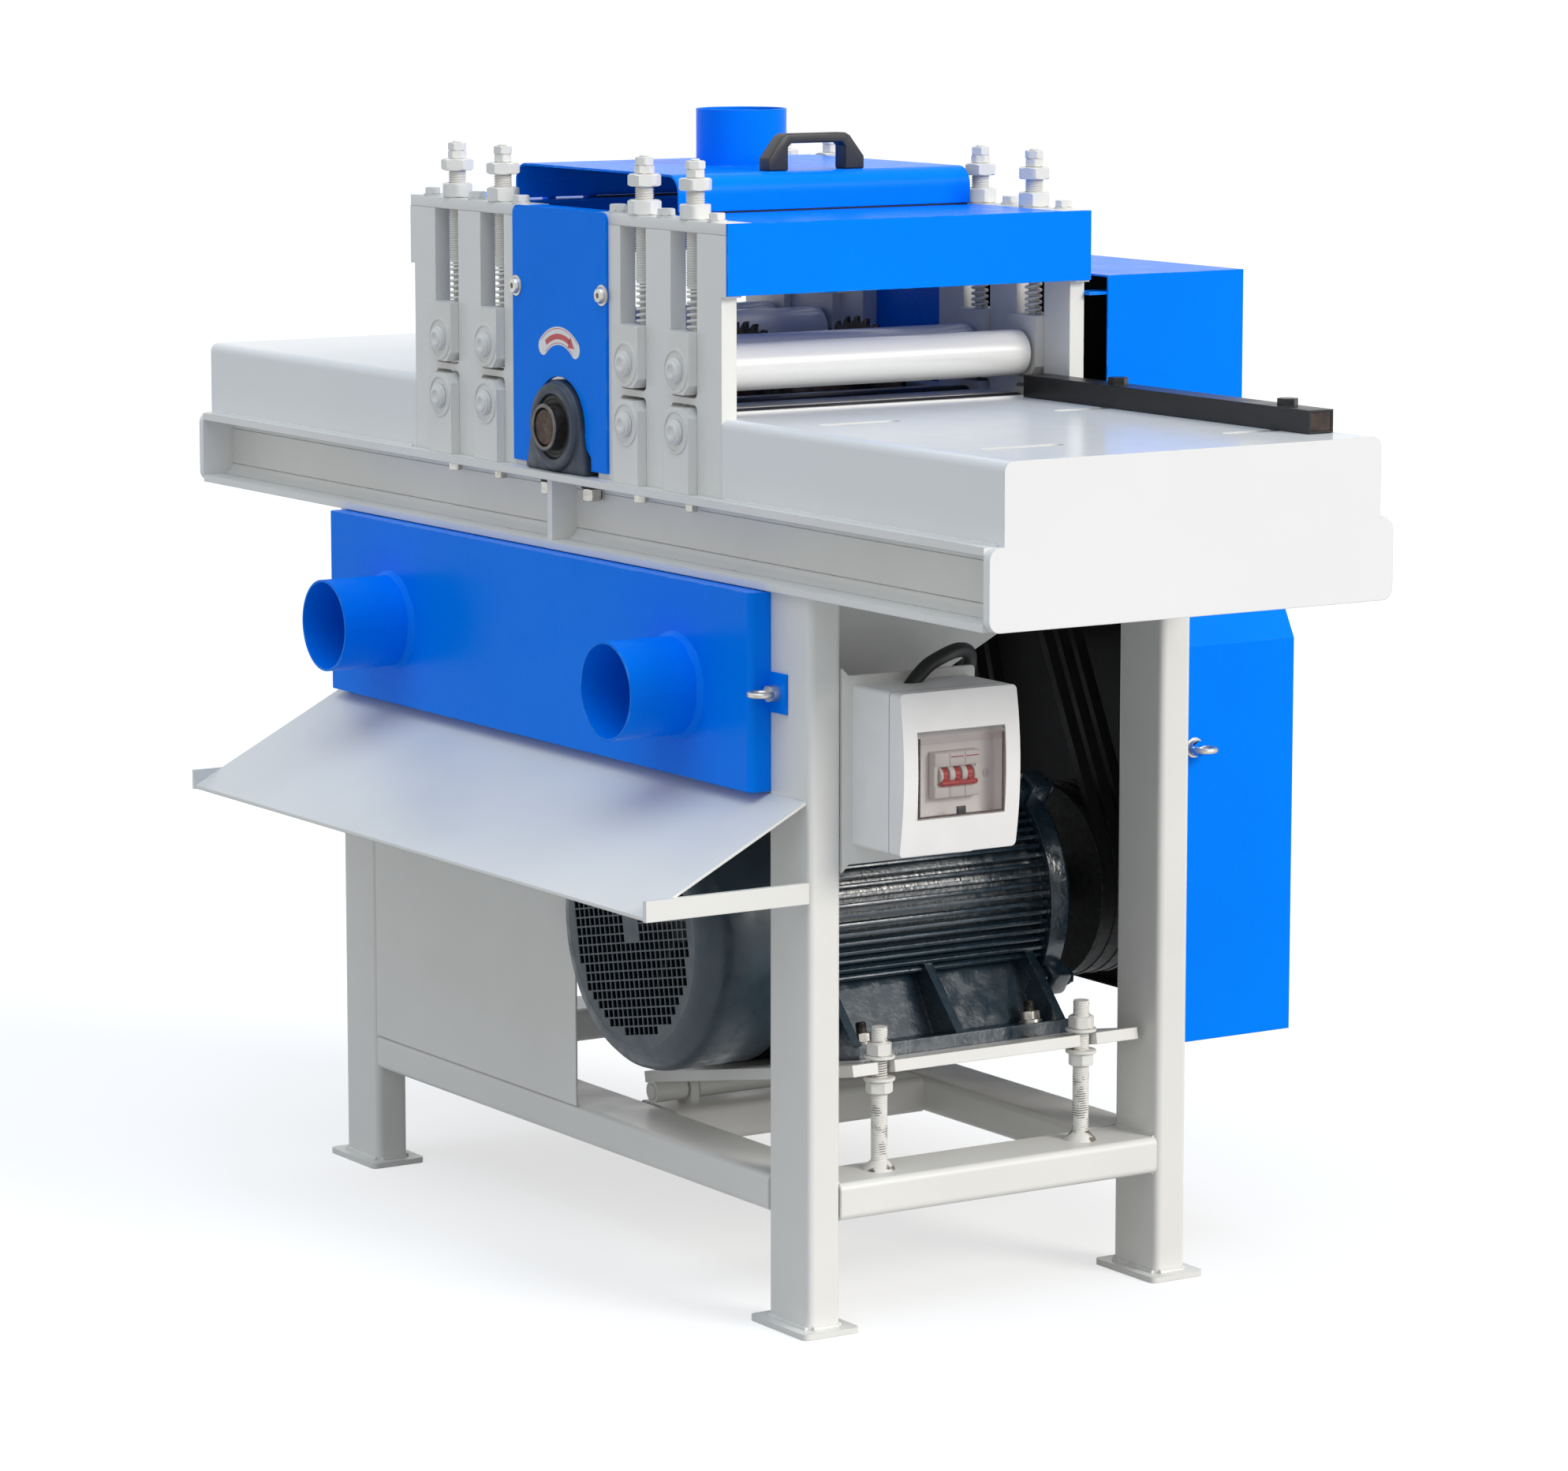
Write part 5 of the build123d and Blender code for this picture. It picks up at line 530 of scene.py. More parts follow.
for side in (-1, 1):
    lathe(mesh, (0, side * (HOUSING_FACE - 0.0010), ARBOR_Z), (0, side, 0),
          [(0.0468, 0.0), (0.0462, 0.0035), (0.0440, 0.0060), (0.0410, 0.0068), (0.0370, 0.0068),
           (0.0345, 0.0055), (0.0335, 0.0030), (0.0330, 0.0)], 48)
    lathe(mesh, (0, side * NIPPLE_Y, NIPPLE_Z), (0, side * 0.3, 1),
          [(0.0045, 0.0), (0.0045, 0.004), (0.0030, 0.005), (0.0030, 0.008), (0.0036, 0.0095),
           (0.0024, 0.0115), (0, 0.012)], 12)
piece("pillow_blocks", mesh, "machine", slate, "slate_casting", "arbor_bearing_blocks", smooth=40.0)


def oiled_steel(name, colour, shade, rough, metal=0.85):
    material, tree, shader, place = surface(name)
    normal, edge_mask = rounded_edges(tree, place, 0.0006, 150.0)
    stain = mottle(tree, place, 70.0, shade, colour)
    put(tree, shader, Base_Color=tint(tree, edge_mask, stain, (0.42, 0.40, 0.37)), Metallic=metal, Normal=normal,
        Roughness=sheen(tree, place, 160.0, rough, rough + 0.2))
    return material


bare = oiled_steel("bearing_steel", (0.16, 0.145, 0.13), (0.09, 0.08, 0.072), 0.22)
brown = oiled_steel("arbor_steel", (0.085, 0.055, 0.042), (0.045, 0.030, 0.024), 0.42)
black_oxide = oiled_steel("black_oxide_steel", (0.030, 0.029, 0.028), (0.016, 0.0155, 0.015), 0.45, 0.4)
dress(brown, "arbor_shaft")
mesh = bmesh.new()
for side in (-1, 1):
    lathe(mesh, (0, side * (HOUSING_FACE - 0.0005), ARBOR_Z), (0, side, 0),
          [(0.0330, 0.0), (0.0328, 0.0024), (0.0295, 0.0028), (0.0285, 0.0018), (0.0250, 0.0014),
           (0.0247, 0.0)], 48)
piece("bearing_outer_rings", mesh, "machine", black_oxide, "dark_steel")
COLLAR_R, COLLAR_BORE, SHAFT_END = 0.0246, 0.0203, -0.24345
mesh = bmesh.new()
for side, length in ((-1, 0.0150), (1, 0.0108)):
    lathe(mesh, (0, side * HOUSING_FACE, ARBOR_Z), (0, side, 0),
          [(COLLAR_R, 0.0), (COLLAR_R, length - 0.0010), (COLLAR_R - 0.0008, length),
           (COLLAR_BORE + 0.0003, length), (COLLAR_BORE, length - 0.0008), (COLLAR_BORE, 0.0100)], 48)
lathe(mesh, (0, SHAFT_END, ARBOR_Z), (0, -1, 0),
      [(0.0034, 0.0), (0.0032, 0.0003), (0.0026, -0.0002), (0, -0.0012)], 20)
piece("bearing_collars", mesh, "arbor", bare, "dark_steel")


# Saws and pulleys
# Ripping blades with brazed carbide tips clamped between sleeves, and grooved iron pulleys on both shafts.
# Blade bodies are dark with resin, and the tips and gullets are a little brighter where they cut.
resin = oiled_steel("saw_plate_steel", (0.11, 0.10, 0.095), (0.05, 0.047, 0.045), 0.35)
iron = oiled_steel("pulley_iron", (0.030, 0.031, 0.033), (0.016, 0.017, 0.018), 0.55, 0.3)
dress(resin, "saw_blades")
dress(iron, "arbor_pulley", "motor_pulley", "motor_rotor")
BLADE_YS, TEETH, TIP_R = (-0.135, 0.007, 0.149), 32, 0.0972
TIP = Matrix.Translation((TIP_R, 0, 0.0008)) @ Matrix.Diagonal((0.0056, 0.0044, 0.0024, 1))
mesh = bmesh.new()
for y in BLADE_YS:
    for tooth in range(TEETH):
        turn = Matrix.Rotation(-2 * math.pi * tooth / TEETH, 4, "Y")
        bmesh.ops.create_cube(mesh, size=1.0, matrix=Matrix.Translation((0, y, ARBOR_Z)) @ turn @ TIP)
piece("carbide_tips", mesh, "arbor", bare, "blade_steel")


# Bearing and block bolts, cover screws
# Zinc-plated hexagon bolts from below hold the pillow blocks, smaller ones the lower roller blocks.
# Button-head socket screws on washers hold the bay covers.
def zinc_plate(name):
    material, tree, shader, place = surface(name)
    normal, edge_mask = rounded_edges(tree, place, 0.0005, 200.0)
    plate = mottle(tree, place, 120.0, (0.50, 0.48, 0.43), (0.66, 0.64, 0.60))
    put(tree, shader, Base_Color=tint(tree, edge_mask, plate, (0.82, 0.81, 0.79)), Metallic=0.9, Normal=normal,
        Roughness=sheen(tree, place, 260.0, 0.24, 0.42))
    return material


zinc = zinc_plate("zinc_plate")
BEARING_BOLT_X, BEARING_BOLT_Y, BEARING_BOLT = 0.042, 0.211, (0.793, 0.806, 0.019)
BLOCK_BOLT_Y, BLOCK_BOLT = 0.213, (0.8005, 0.8098, 0.013)
COVER_FACE_Y, COVER_SCREW_X, COVER_SCREW_Z = 0.225, 0.088, 1.010
mesh = bmesh.new()
washers = bmesh.new()
for side in (-1, 1):
    for x in (-BEARING_BOLT_X, BEARING_BOLT_X):
        lathe(washers, (x, side * BEARING_BOLT_Y, FLANGE_HIGH), (0, 0, -1),
              [(0.0065, 0.0), (0.0128, 0.0), (0.0128, 0.0026), (0.0112, 0.0028), (0.0112, 0.0060),
               (0.0065, 0.0060)], 28)
        hex_block(mesh, x, side * BEARING_BOLT_Y, *BEARING_BOLT, 0.3 + 4 * x)
    for row, x in ROWS.items():
        lathe(washers, (x, side * BLOCK_BOLT_Y, FLANGE_HIGH), (0, 0, -1),
              [(0.0045, 0.0), (0.0090, 0.0), (0.0090, 0.0022), (0.0045, 0.0022)], 24)
        hex_block(mesh, x, side * BLOCK_BOLT_Y, *BLOCK_BOLT, 0.5 * row, 0.08)
    for x in (-COVER_SCREW_X, COVER_SCREW_X):
        lathe(mesh, (x, side * COVER_FACE_Y, COVER_SCREW_Z), (0, side, 0),
              [(0.0110, 0.0), (0.0110, 0.0012), (0.0086, 0.0013), (0.0085, 0.0030), (0.0070, 0.0058),
               (0.0055, 0.0062), (0.0030, 0.0060), (0.0028, 0.0025), (0, 0.0024)], 28)
piece("frame_bolts_and_cover_screws", mesh, "machine", zinc, "zinc", "frame_screws")
piece("bolt_washers", washers, "machine", black_oxide, "dark_steel")


# Head covers
# Bent sheet covers over both roller rows and the two arbor bays, in gloss azure enamel.
# A curved label on the near bay shows which way the arbor turns.
# The light edge colour in AZURE is partly worn paint and partly a painted highlight along edges and bends;
# the guards share it.
AZURE = ((0.0, 0.22, 0.97), (0.0, 0.205, 0.93), (0.22, 0.55, 0.98), 0.24, 0.06, 0.04, 0.06)
blue = enamel("azure_enamel", *AZURE)
dress(blue, "head_covers")


def print_film(name, colour, shade):
    material, tree, shader, place = surface(name)
    put(tree, shader, Base_Color=mottle(tree, place, 90.0, shade, colour),
        Roughness=sheen(tree, place, 300.0, 0.22, 0.34))
    return material


label_white = print_film("label_white", (0.84, 0.83, 0.82), (0.78, 0.77, 0.76))
label_red = print_film("label_red", (0.62, 0.035, 0.04), (0.52, 0.03, 0.035))
LABEL_X, LABEL_Z, LABEL_IN, LABEL_OUT, LABEL_Y = 0.0, 0.9135, 0.0395, 0.0585, -COVER_FACE_Y
PRINT_Y, LABEL_SPAN = LABEL_Y - 0.0002, (48, 132)


def arc_band(mesh, inner, outer, start, end, y, rounded=False):
    centre = Vector((LABEL_X, y, LABEL_Z))
    place = Matrix.Translation(centre) @ Matrix.Rotation(-math.radians(start), 4, "Y")
    first, second = (mesh.verts.new(place @ Vector((radius, 0, 0))) for radius in (inner, outer))
    line = mesh.edges.new((first, second))
    last = bmesh.ops.spin(mesh, geom=[first, second, line], cent=centre, axis=(0, -1, 0),
                          angle=math.radians(end - start), steps=24)["geom_last"]
    for pair, turn in (((first, second), 1), (verts_of(last), -1)) if rounded else ():
        rim = max(pair, key=lambda vert: (vert.co - centre).length)
        middle = (pair[0].co + pair[1].co) / 2
        half = mesh.verts.new(middle), mesh.verts.new(rim.co)
        bmesh.ops.spin(mesh, geom=[*half, mesh.edges.new(half)], cent=middle, axis=(0, turn, 0),
                       angle=math.pi, steps=16)
    bmesh.ops.remove_doubles(mesh, verts=mesh.verts[:], dist=MERGE)


mesh = bmesh.new()
arc_band(mesh, LABEL_IN, LABEL_OUT, *LABEL_SPAN, LABEL_Y - 0.00012, True)
piece("rotation_label", mesh, "machine", label_white, "white_plastic")
mesh = bmesh.new()
for radius in (LABEL_IN + 0.0016, LABEL_OUT - 0.0023):
    arc_band(mesh, radius, radius + 0.0007, *LABEL_SPAN, PRINT_Y)
arc_band(mesh, LABEL_IN + 0.0058, LABEL_OUT - 0.0073, 64, 124, PRINT_Y)
tip = [Matrix.Rotation(-math.radians(angle), 4, "Y") @ Vector((radius, 0, 0))
       for radius, angle in ((LABEL_IN + 0.0023, 65), (LABEL_OUT - 0.0038, 65), (LABEL_IN + 0.0088, 50))]
mesh.faces.new([mesh.verts.new((LABEL_X + point.x, PRINT_Y, LABEL_Z + point.z)) for point in tip])
piece("rotation_arrow", mesh, "machine", label_red, "red_plastic")


# Dust hood
# Folded sheet on two hinges with a round outlet, closed by strips of black rubber under both its edges.
# The bridge handle is moulded black plastic, screwed down at both feet.
def rubber(name, colour, rough, skin):
    material, tree, shader, place = surface(name)
    shade = tuple(0.7 * part for part in colour)
    put(tree, shader, Base_Color=mottle(tree, place, 40.0, shade, colour),
        Roughness=sheen(tree, place, 25.0, rough, rough + 0.15),
        Normal=grain(tree, place, skin, 0.0003, 1400.0))
    return material


dress(blue, "hood_shell")
black_rubber = rubber("black_rubber", (0.014, 0.014, 0.014), 0.55, 0.3)
black_plastic = rubber("black_moulded_plastic", (0.020, 0.020, 0.021), 0.32, 0.5)
SEAL_LOW, SEAL_HIGH = 1.0951, 1.0969
mesh = bmesh.new()
for start, end, half in ((0.150, 0.1648, 0.178), (-0.1640, -0.150, 0.085)):
    block(mesh, (start, -half, SEAL_LOW), (end, half, SEAL_HIGH), 0.0004, 1)
piece("hood_seal", mesh, "hood", black_rubber, "black_rubber")

HANDLE_X, HANDLE_WIDTH = 0.127, 0.020
HALF_HANDLE = [(0.035, 1.1350), (0.035, 1.1590), (0.031, 1.1630), (0, 1.1630), (0, 1.1730), (0.036, 1.1730),
               (0.0415, 1.1700), (0.059, 1.1480), (0.059, 1.1350)]
mesh = bmesh.new()
face = mesh.faces.new([mesh.verts.new((HANDLE_X, y, z)) for y, z in HALF_HANDLE])
extrude(mesh, [face], (HANDLE_WIDTH, 0, 0))
middle = [face for face in mesh.faces if all(abs(vert.co.y) < 1e-6 for vert in face.verts)]
bmesh.ops.delete(mesh, geom=middle, context="FACES")
bmesh.ops.mirror(mesh, geom=mesh.verts[:] + mesh.edges[:] + mesh.faces[:], axis="Y", merge_dist=MERGE)
bmesh.ops.recalc_face_normals(mesh, faces=mesh.faces[:])
sharp = [edge for edge in mesh.edges if edge.calc_face_angle(0.0) > 1.2]
round_off(mesh, sharp, 0.0018, 3)
piece("bridge_handle", mesh, "hood", black_plastic, "black_plastic", "hood_handle")


# Motor
# A finned cast-iron motor in dark slate enamel, bolted by its feet to the hinged cradle plate.
# The fan cowl is pressed sheet with a field of square holes, and the shield is held by bolted ears.
MOTOR_SLATE = ((0.021, 0.042, 0.061), (0.014, 0.029, 0.043), (0.13, 0.16, 0.18))
motor_enamel = casting("motor_enamel", *MOTOR_SLATE, 0.12, 0.22, 1.0)
cowl_enamel = casting("cowl_enamel", *MOTOR_SLATE, 0.28, 0.06)
dress(motor_enamel, "motor_frame", "feed_gearmotor")
MOTOR = Matrix.Translation((0.201, 0, 0.370)) @ Matrix.Rotation(math.radians(-11), 4, "Y")


def move(mesh, matrix):
    bmesh.ops.transform(mesh, matrix=matrix, verts=mesh.verts[:])


COWL_FACE, COWL_END, COWL_R, COWL_SHEET = -0.262, -0.150, 0.150, 0.0016
HOLE, PITCH, FIELD, PLATE_R = 0.0072, 0.0096, 0.112, 0.1245
FLAT = Matrix.Translation((0, COWL_FACE, 0)) @ Matrix.Rotation(math.radians(90), 4, "X")
mesh = bmesh.new()
cells = 2 * int(FIELD / PITCH) + 1
bmesh.ops.create_grid(mesh, x_segments=cells, y_segments=cells, size=cells * PITCH / 2, matrix=FLAT)
outside = [face for face in mesh.faces if face.calc_center_median().xz.length > FIELD]
bmesh.ops.delete(mesh, geom=outside, context="FACES")
holes = [face for face in mesh.faces if face.calc_center_median().xz.length > 1.5 * PITCH]
bmesh.ops.inset_individual(mesh, faces=holes, thickness=(PITCH - HOLE) / 2)
bmesh.ops.delete(mesh, geom=holes, context="FACES")
border = [edge for edge in mesh.edges if len(edge.link_faces) == 1 and edge.calc_length() > 0.9 * PITCH]
circle = bmesh.ops.create_circle(mesh, radius=PLATE_R, segments=72, matrix=FLAT)["verts"]
bmesh.ops.triangle_fill(mesh, edges=border + edges_round(circle), normal=(0, -1, 0))
bmesh.ops.recalc_face_normals(mesh, faces=mesh.faces[:])
bmesh.ops.solidify(mesh, geom=mesh.faces[:], thickness=COWL_SHEET)
bmesh.ops.translate(mesh, vec=(0, COWL_FACE - min(vert.co.y for vert in mesh.verts), 0), verts=mesh.verts[:])
lathe(mesh, (0, 0, 0), (0, 1, 0),
      [(0.1240, COWL_FACE + 0.0016), (0.1240, COWL_FACE), (0.1300, COWL_FACE + 0.0004),
       (0.1400, COWL_FACE + 0.005), (0.1460, COWL_FACE + 0.012), (0.1490, COWL_FACE + 0.021),
       (COWL_R, COWL_FACE + 0.032), (COWL_R, COWL_END), (COWL_R - 0.002, COWL_END),
       (COWL_R - 0.002, COWL_FACE + 0.032), (0.1465, COWL_FACE + 0.020), (0.1390, COWL_FACE + 0.007),
       (0.1300, COWL_FACE + 0.0024), (0.1240, COWL_FACE + 0.0016)], 72)
move(mesh, MOTOR)
piece("fan_cowl_grille", mesh, "motor_cradle", cowl_enamel, "slate_casting", "fan_cowl", smooth=50.0)

FIN_START, FIN_END, SHIELD_END = -0.150, 0.172, 0.200
FIN_PITCH, FIN_IN, FIN_OUT, FIN_HALF, FOOT_ANGLE, BOX_ANGLE = 9, 0.110, 0.1290, 0.0024, 50, 30
mesh = bmesh.new()
for turn in range(0, 360, FIN_PITCH):
    if abs(turn - 270) > FOOT_ANGLE and abs(turn - 90) > BOX_ANGLE:
        rib = bmesh.new()
        block(rib, (FIN_IN, FIN_START + 0.0005, -FIN_HALF), (FIN_OUT, FIN_END - 0.0005, FIN_HALF), 0.0016)
        around = Matrix.Rotation(-math.radians(turn), 4, "Y")
        move(rib, MOTOR @ around)
        joined = bpy.data.meshes.new("rib")
        rib.to_mesh(joined)
        rib.free()
        mesh.from_mesh(joined)
        bpy.data.meshes.remove(joined)
piece("motor_ribs", mesh, "motor_cradle", motor_enamel, "slate_casting")
mesh = bmesh.new()
block(mesh, (0.112, FIN_END - 0.026, -0.013), (0.152, FIN_END - 0.0006, 0.013), 0.004)
block(mesh, (0.118, FIN_END + 0.0006, -0.015), (0.155, SHIELD_END - 0.001, 0.015), 0.005)
lathe(mesh, (0.143, SHIELD_END - 0.0012, 0), (0, 1, 0),
      [(0.0110, 0.0), (0.0110, 0.0016), (0.0088, 0.0017), (0.0088, 0.0070), (0.0078, 0.0080), (0, 0.0080)], 6)
bmesh.ops.spin(mesh, geom=mesh.verts[:] + mesh.edges[:] + mesh.faces[:], cent=(0, 0, 0), axis=(0, 1, 0),
               angle=math.radians(270), steps=3, use_duplicate=True)
quarter = Matrix.Rotation(math.radians(45), 4, "Y")
move(mesh, MOTOR @ quarter)
piece("shield_ears", mesh, "motor_cradle", motor_enamel, "slate_casting")

FOOT_LEVEL, FOOT_BOLTS = -0.142, [(x, y) for x in (-0.127, 0.127) for y in (-0.077, 0.133)]
FOOT_THREAD = {"root": 0.0050, "crest": 0.0060, "pitch": 0.00175, "steps": 16}
mesh = bmesh.new()
nuts = bmesh.new()
for index, (x, y) in enumerate(FOOT_BOLTS):
    lathe(nuts, (x, y, FOOT_LEVEL), (0, 0, 1),
          [(0.0062, 0.0), (0.0125, 0.0), (0.0125, 0.002), (0.0062, 0.002)], 24)
    hex_block(nuts, x, y, FOOT_LEVEL + 0.002, FOOT_LEVEL + 0.0115, 0.019, 0.6 * index)
    thread(mesh, x, y, FOOT_LEVEL + 0.010, FOOT_LEVEL + 0.022, **FOOT_THREAD)
    lathe(mesh, (x, y, FOOT_LEVEL), (0, 0, 1),
          [(0.0052, 0.008), (0.0052, 0.0215), (0.0042, 0.0225), (0, 0.0225)], 16)
for part in (mesh, nuts):
    move(part, MOTOR)
piece("motor_bolt_ends", mesh, "motor_cradle", black_oxide, "zinc")
piece("motor_foot_nuts", nuts, "motor_cradle", zinc, "zinc", "motor_mount_bolts")


# Motor cradle
# A flat plate hinged on a pin at one edge and held between pairs of nuts on the two studs.
# Turning the nuts tilts the motor and tightens the belts.
dress(cream, "cradle_plate")
NUT, NUT_WIDE, NUT_WASHER = 0.013, 0.024, 0.003
low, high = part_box("cradle_nuts")
mesh = bmesh.new()
for y in (-STUD_Y, STUD_Y):
    hex_block(mesh, STUD_X, y, low.z, low.z + NUT, NUT_WIDE, 0.2 + 3 * y)
    hex_block(mesh, STUD_X, y, high.z - NUT, high.z, NUT_WIDE, 0.75 + 3 * y)
    for level in (low.z + NUT, high.z - NUT - NUT_WASHER):
        lathe(mesh, (STUD_X, y, level), (0, 0, 1),
              [(0.0083, 0.0), (0.0157, 0.0), (0.0160, 0.0004), (0.0160, 0.0026), (0.0157, NUT_WASHER),
               (0.0083, NUT_WASHER)], 32)
piece("tension_nut_pairs", mesh, "tension_nuts", cream, "cream_paint", "cradle_nuts")


# Belt drive and feed drive
# V-belts to the arbor, and a roller chain from a small gearmotor to the
# lower rollers. They run inside two azure sheet guards on the far side, whose inner faces carry a near-black
# painted shade.
belt_rubber = rubber("belt_rubber", (0.018, 0.018, 0.019), 0.6, 0.4)
chain_steel = oiled_steel("chain_steel", (0.16, 0.15, 0.14), (0.07, 0.065, 0.06), 0.35)
ARBOR_AXIS, MOTOR_WRAP, GUARD_MIDDLE = (0.0, 0.0, ARBOR_Z), (0.1935, 0.0, 0.3885), (0.04, 0.33, 0.62)
mesh = bmesh.new()
mesh.from_mesh(node["drive_belts"].data)
bmesh.ops.remove_doubles(mesh, verts=mesh.verts[:], dist=MERGE)
belts = piece("v_belts", mesh, None, belt_rubber, "black_rubber", "drive_belts")
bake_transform(belts)
dress(chain_steel, "feed_chain")
dress(zinc, "feed_sprocket")
guard_enamel_painted_shade = enamel("guard_enamel_painted_shade", *AZURE)
tree = guard_enamel_painted_shade.node_tree
shader = tree.nodes["Principled BSDF"]
painted = shader.inputs["Base Color"].links[0].from_socket
# Faces that look toward the middle of the guards are painted near black: painted shade standing for the dark
# inside of the closed guards.
inward = tree.nodes.new("ShaderNodeVectorMath")
inward.operation = "SUBTRACT"
inward.inputs[0].default_value = GUARD_MIDDLE
link(tree, inward.inputs[1], tree.nodes["Texture Coordinate"].outputs["Object"])
flat = tree.nodes.new("ShaderNodeNewGeometry").outputs["Normal"]
inside = reach(tree, facing(tree, inward.outputs["Vector"], flat), 0.0, 0.01)
put(tree, shader, Base_Color=tint(tree, inside, painted, (0.006, 0.006, 0.008)))
dress(guard_enamel_painted_shade, "belt_guard_upper", "belt_guard_lower")
EYE_X, EYE_Y, EYE_Z, EYE_NECK, EYE_RING, EYE_WIRE = 0.421, 0.290, 0.540, 0.008, 0.011, 0.0033
mesh = bmesh.new()
hole = (EYE_X + EYE_NECK + EYE_RING, EYE_Y, EYE_Z)
wire = bmesh.ops.create_circle(mesh, radius=EYE_WIRE, segments=12, matrix=Matrix.Translation(
    (hole[0] + EYE_RING, EYE_Y, EYE_Z)) @ Matrix.Rotation(math.radians(90), 4, "X"))["verts"]
bmesh.ops.spin(mesh, geom=[*wire, *edges_round(wire)], cent=hole, axis=(0, 0, 1), angle=2 * math.pi,
               steps=36, use_merge=True)
lathe(mesh, (EYE_X, EYE_Y, EYE_Z), (1, 0, 0),
      [(0.0106, 0.0), (0.0106, 0.0016), (0.0086, 0.0018), (0.0083, 0.0075), (0.0060, 0.0090), (0, 0.0090)],
      24)
piece("guard_eye_nut", mesh, "lower_guard", zinc, "zinc")


# Dust tray
# A shallow sheet pan with two welded spigots for hoses, hung on the legs by tabs and eye nuts.
# It wears the same azure enamel, and the eye nuts are zinc plated.
dress(blue, "dust_tray")
dress(zinc, "tray_eye_nuts")


# Breaker box
# A white moulded box on the frame tab with a bowed front, a smoked flap and a three-pole switch inside.
# The flap swings up on a roll along its top edge, and one red bar joins the three switch levers.
def moulded(name, colour, shade, rough):
    material, tree, shader, place = surface(name)
    normal = rounded_edges(tree, place, 0.001, 60.0)[0]
    put(tree, shader, Base_Color=mottle(tree, place, 30.0, shade, colour),
        Roughness=sheen(tree, place, 140.0, rough, rough + 0.1),
        Normal=grain(tree, place, 0.06, 0.0002, 1800.0, normal))
    return material


box_white = moulded("box_white_plastic", (0.85, 0.84, 0.83), (0.82, 0.81, 0.80), 0.30)
switch_grey = moulded("switch_plastic", (0.70, 0.69, 0.67), (0.64, 0.63, 0.61), 0.38)
lever_red = moulded("lever_red_plastic", (0.50, 0.020, 0.025), (0.42, 0.016, 0.02), 0.30)
dress(box_white, "breaker_box_back", "breaker_box_cover")
dress(switch_grey, "circuit_breaker")
SEAM_LOW, SEAM_HIGH = (0.55605, -0.18205, 0.48995), (0.55675, -0.04395, 0.65105)
mesh = bmesh.new()
corners = [edge for edge in cube(mesh, SEAM_LOW, SEAM_HIGH) if edge.verts[0].co.x != edge.verts[1].co.x]
round_off(mesh, corners, 0.005, 6)
mesh.normal_update()
bmesh.ops.delete(mesh, geom=[face for face in mesh.faces if abs(face.normal.x) > 0.9], context="FACES")
bmesh.ops.solidify(mesh, geom=mesh.faces[:], thickness=0.0004)
piece("breaker_seam", mesh, "machine", black_plastic, "black_plastic")

smoked, tree, shader, place = surface("smoked_clear_plastic")
put(tree, shader, Base_Color=mottle(tree, place, 20.0, (0.20, 0.11, 0.10), (0.24, 0.14, 0.13)),
    Roughness=reach(tree, noise(tree, place, 90.0, 5.0), 0.4, 0.8, 0.03, 0.09),
    Specular_IOR_Level=0.3, Alpha=0.14)
dress(smoked, "breaker_flap")
FLAP_Y, FLAP_LOW, FLAP_HIGH, FLAP_EDGE = (-0.1635, -0.0625), 0.5276, 0.6066, 0.0016
EDGE_X, BAND_X, BAND_LOW = (0.5792, 0.5818), (0.5798, 0.5816), 0.6000
LATCH_LOW, LATCH_HIGH = (0.5790, -0.1180, 0.5290), (0.5818, -0.1080, 0.5365)
smoked_edge = print_film("smoked_edge_plastic", (0.085, 0.050, 0.047), (0.060, 0.036, 0.034))
mesh = bmesh.new()
for low, high in (((FLAP_Y[0], FLAP_LOW), (FLAP_Y[0] + FLAP_EDGE, FLAP_HIGH)),
                  ((FLAP_Y[1] - FLAP_EDGE, FLAP_LOW), (FLAP_Y[1], FLAP_HIGH)),
                  ((FLAP_Y[0], FLAP_LOW), (FLAP_Y[1], FLAP_LOW + FLAP_EDGE))):
    block(mesh, (EDGE_X[0], *low), (EDGE_X[1], *high), 0.0004, 1)
piece("flap_edges", mesh, "breaker_flap", smoked_edge, "clear_plastic")
mesh = bmesh.new()
block(mesh, (BAND_X[0], FLAP_Y[0], BAND_LOW), (BAND_X[1], FLAP_Y[1], FLAP_HIGH), 0.0006)
piece("flap_hinge_band", mesh, "breaker_flap", smoked, "clear_plastic")
mesh = bmesh.new()
block(mesh, LATCH_LOW, LATCH_HIGH, 0.0006)
piece("flap_latch", mesh, "breaker_flap", black_plastic, "black_plastic")

SWITCH_X, SWITCH_Y, SWITCH_Z, PLATE_X = 0.5684, -0.110, 0.566, 0.5589
POLES, POLE_HALF, POLE_DEEP, STRIPE_HALF = (-0.018, 0.0, 0.018), 0.0086, 0.0008, 0.0074
mesh = bmesh.new()
for pole in POLES:
    left, right = SWITCH_Y + pole - POLE_HALF, SWITCH_Y + pole + POLE_HALF
    for low, high in ((0.0094, 0.0222), (-0.0222, -0.0094)):
        block(mesh, (SWITCH_X - POLE_DEEP, left, SWITCH_Z + low),
              (SWITCH_X + POLE_DEEP, right, SWITCH_Z + high), 0.0006)
PIVOT_X, CHEEK = SWITCH_X - 0.004, [(0, 0.0), (0.0080, 0.0), (0.0085, 0.0005)]
for offset, thick in ((-0.0200, 0.0032), (-0.00735, 0.0064), (0.00735, 0.0064), (0.0200, 0.0032)):
    outline = CHEEK + [(radius, thick - along) for radius, along in reversed(CHEEK)]
    lathe(mesh, (PIVOT_X, SWITCH_Y + offset - thick / 2, SWITCH_Z), (0, 1, 0), outline, 32)
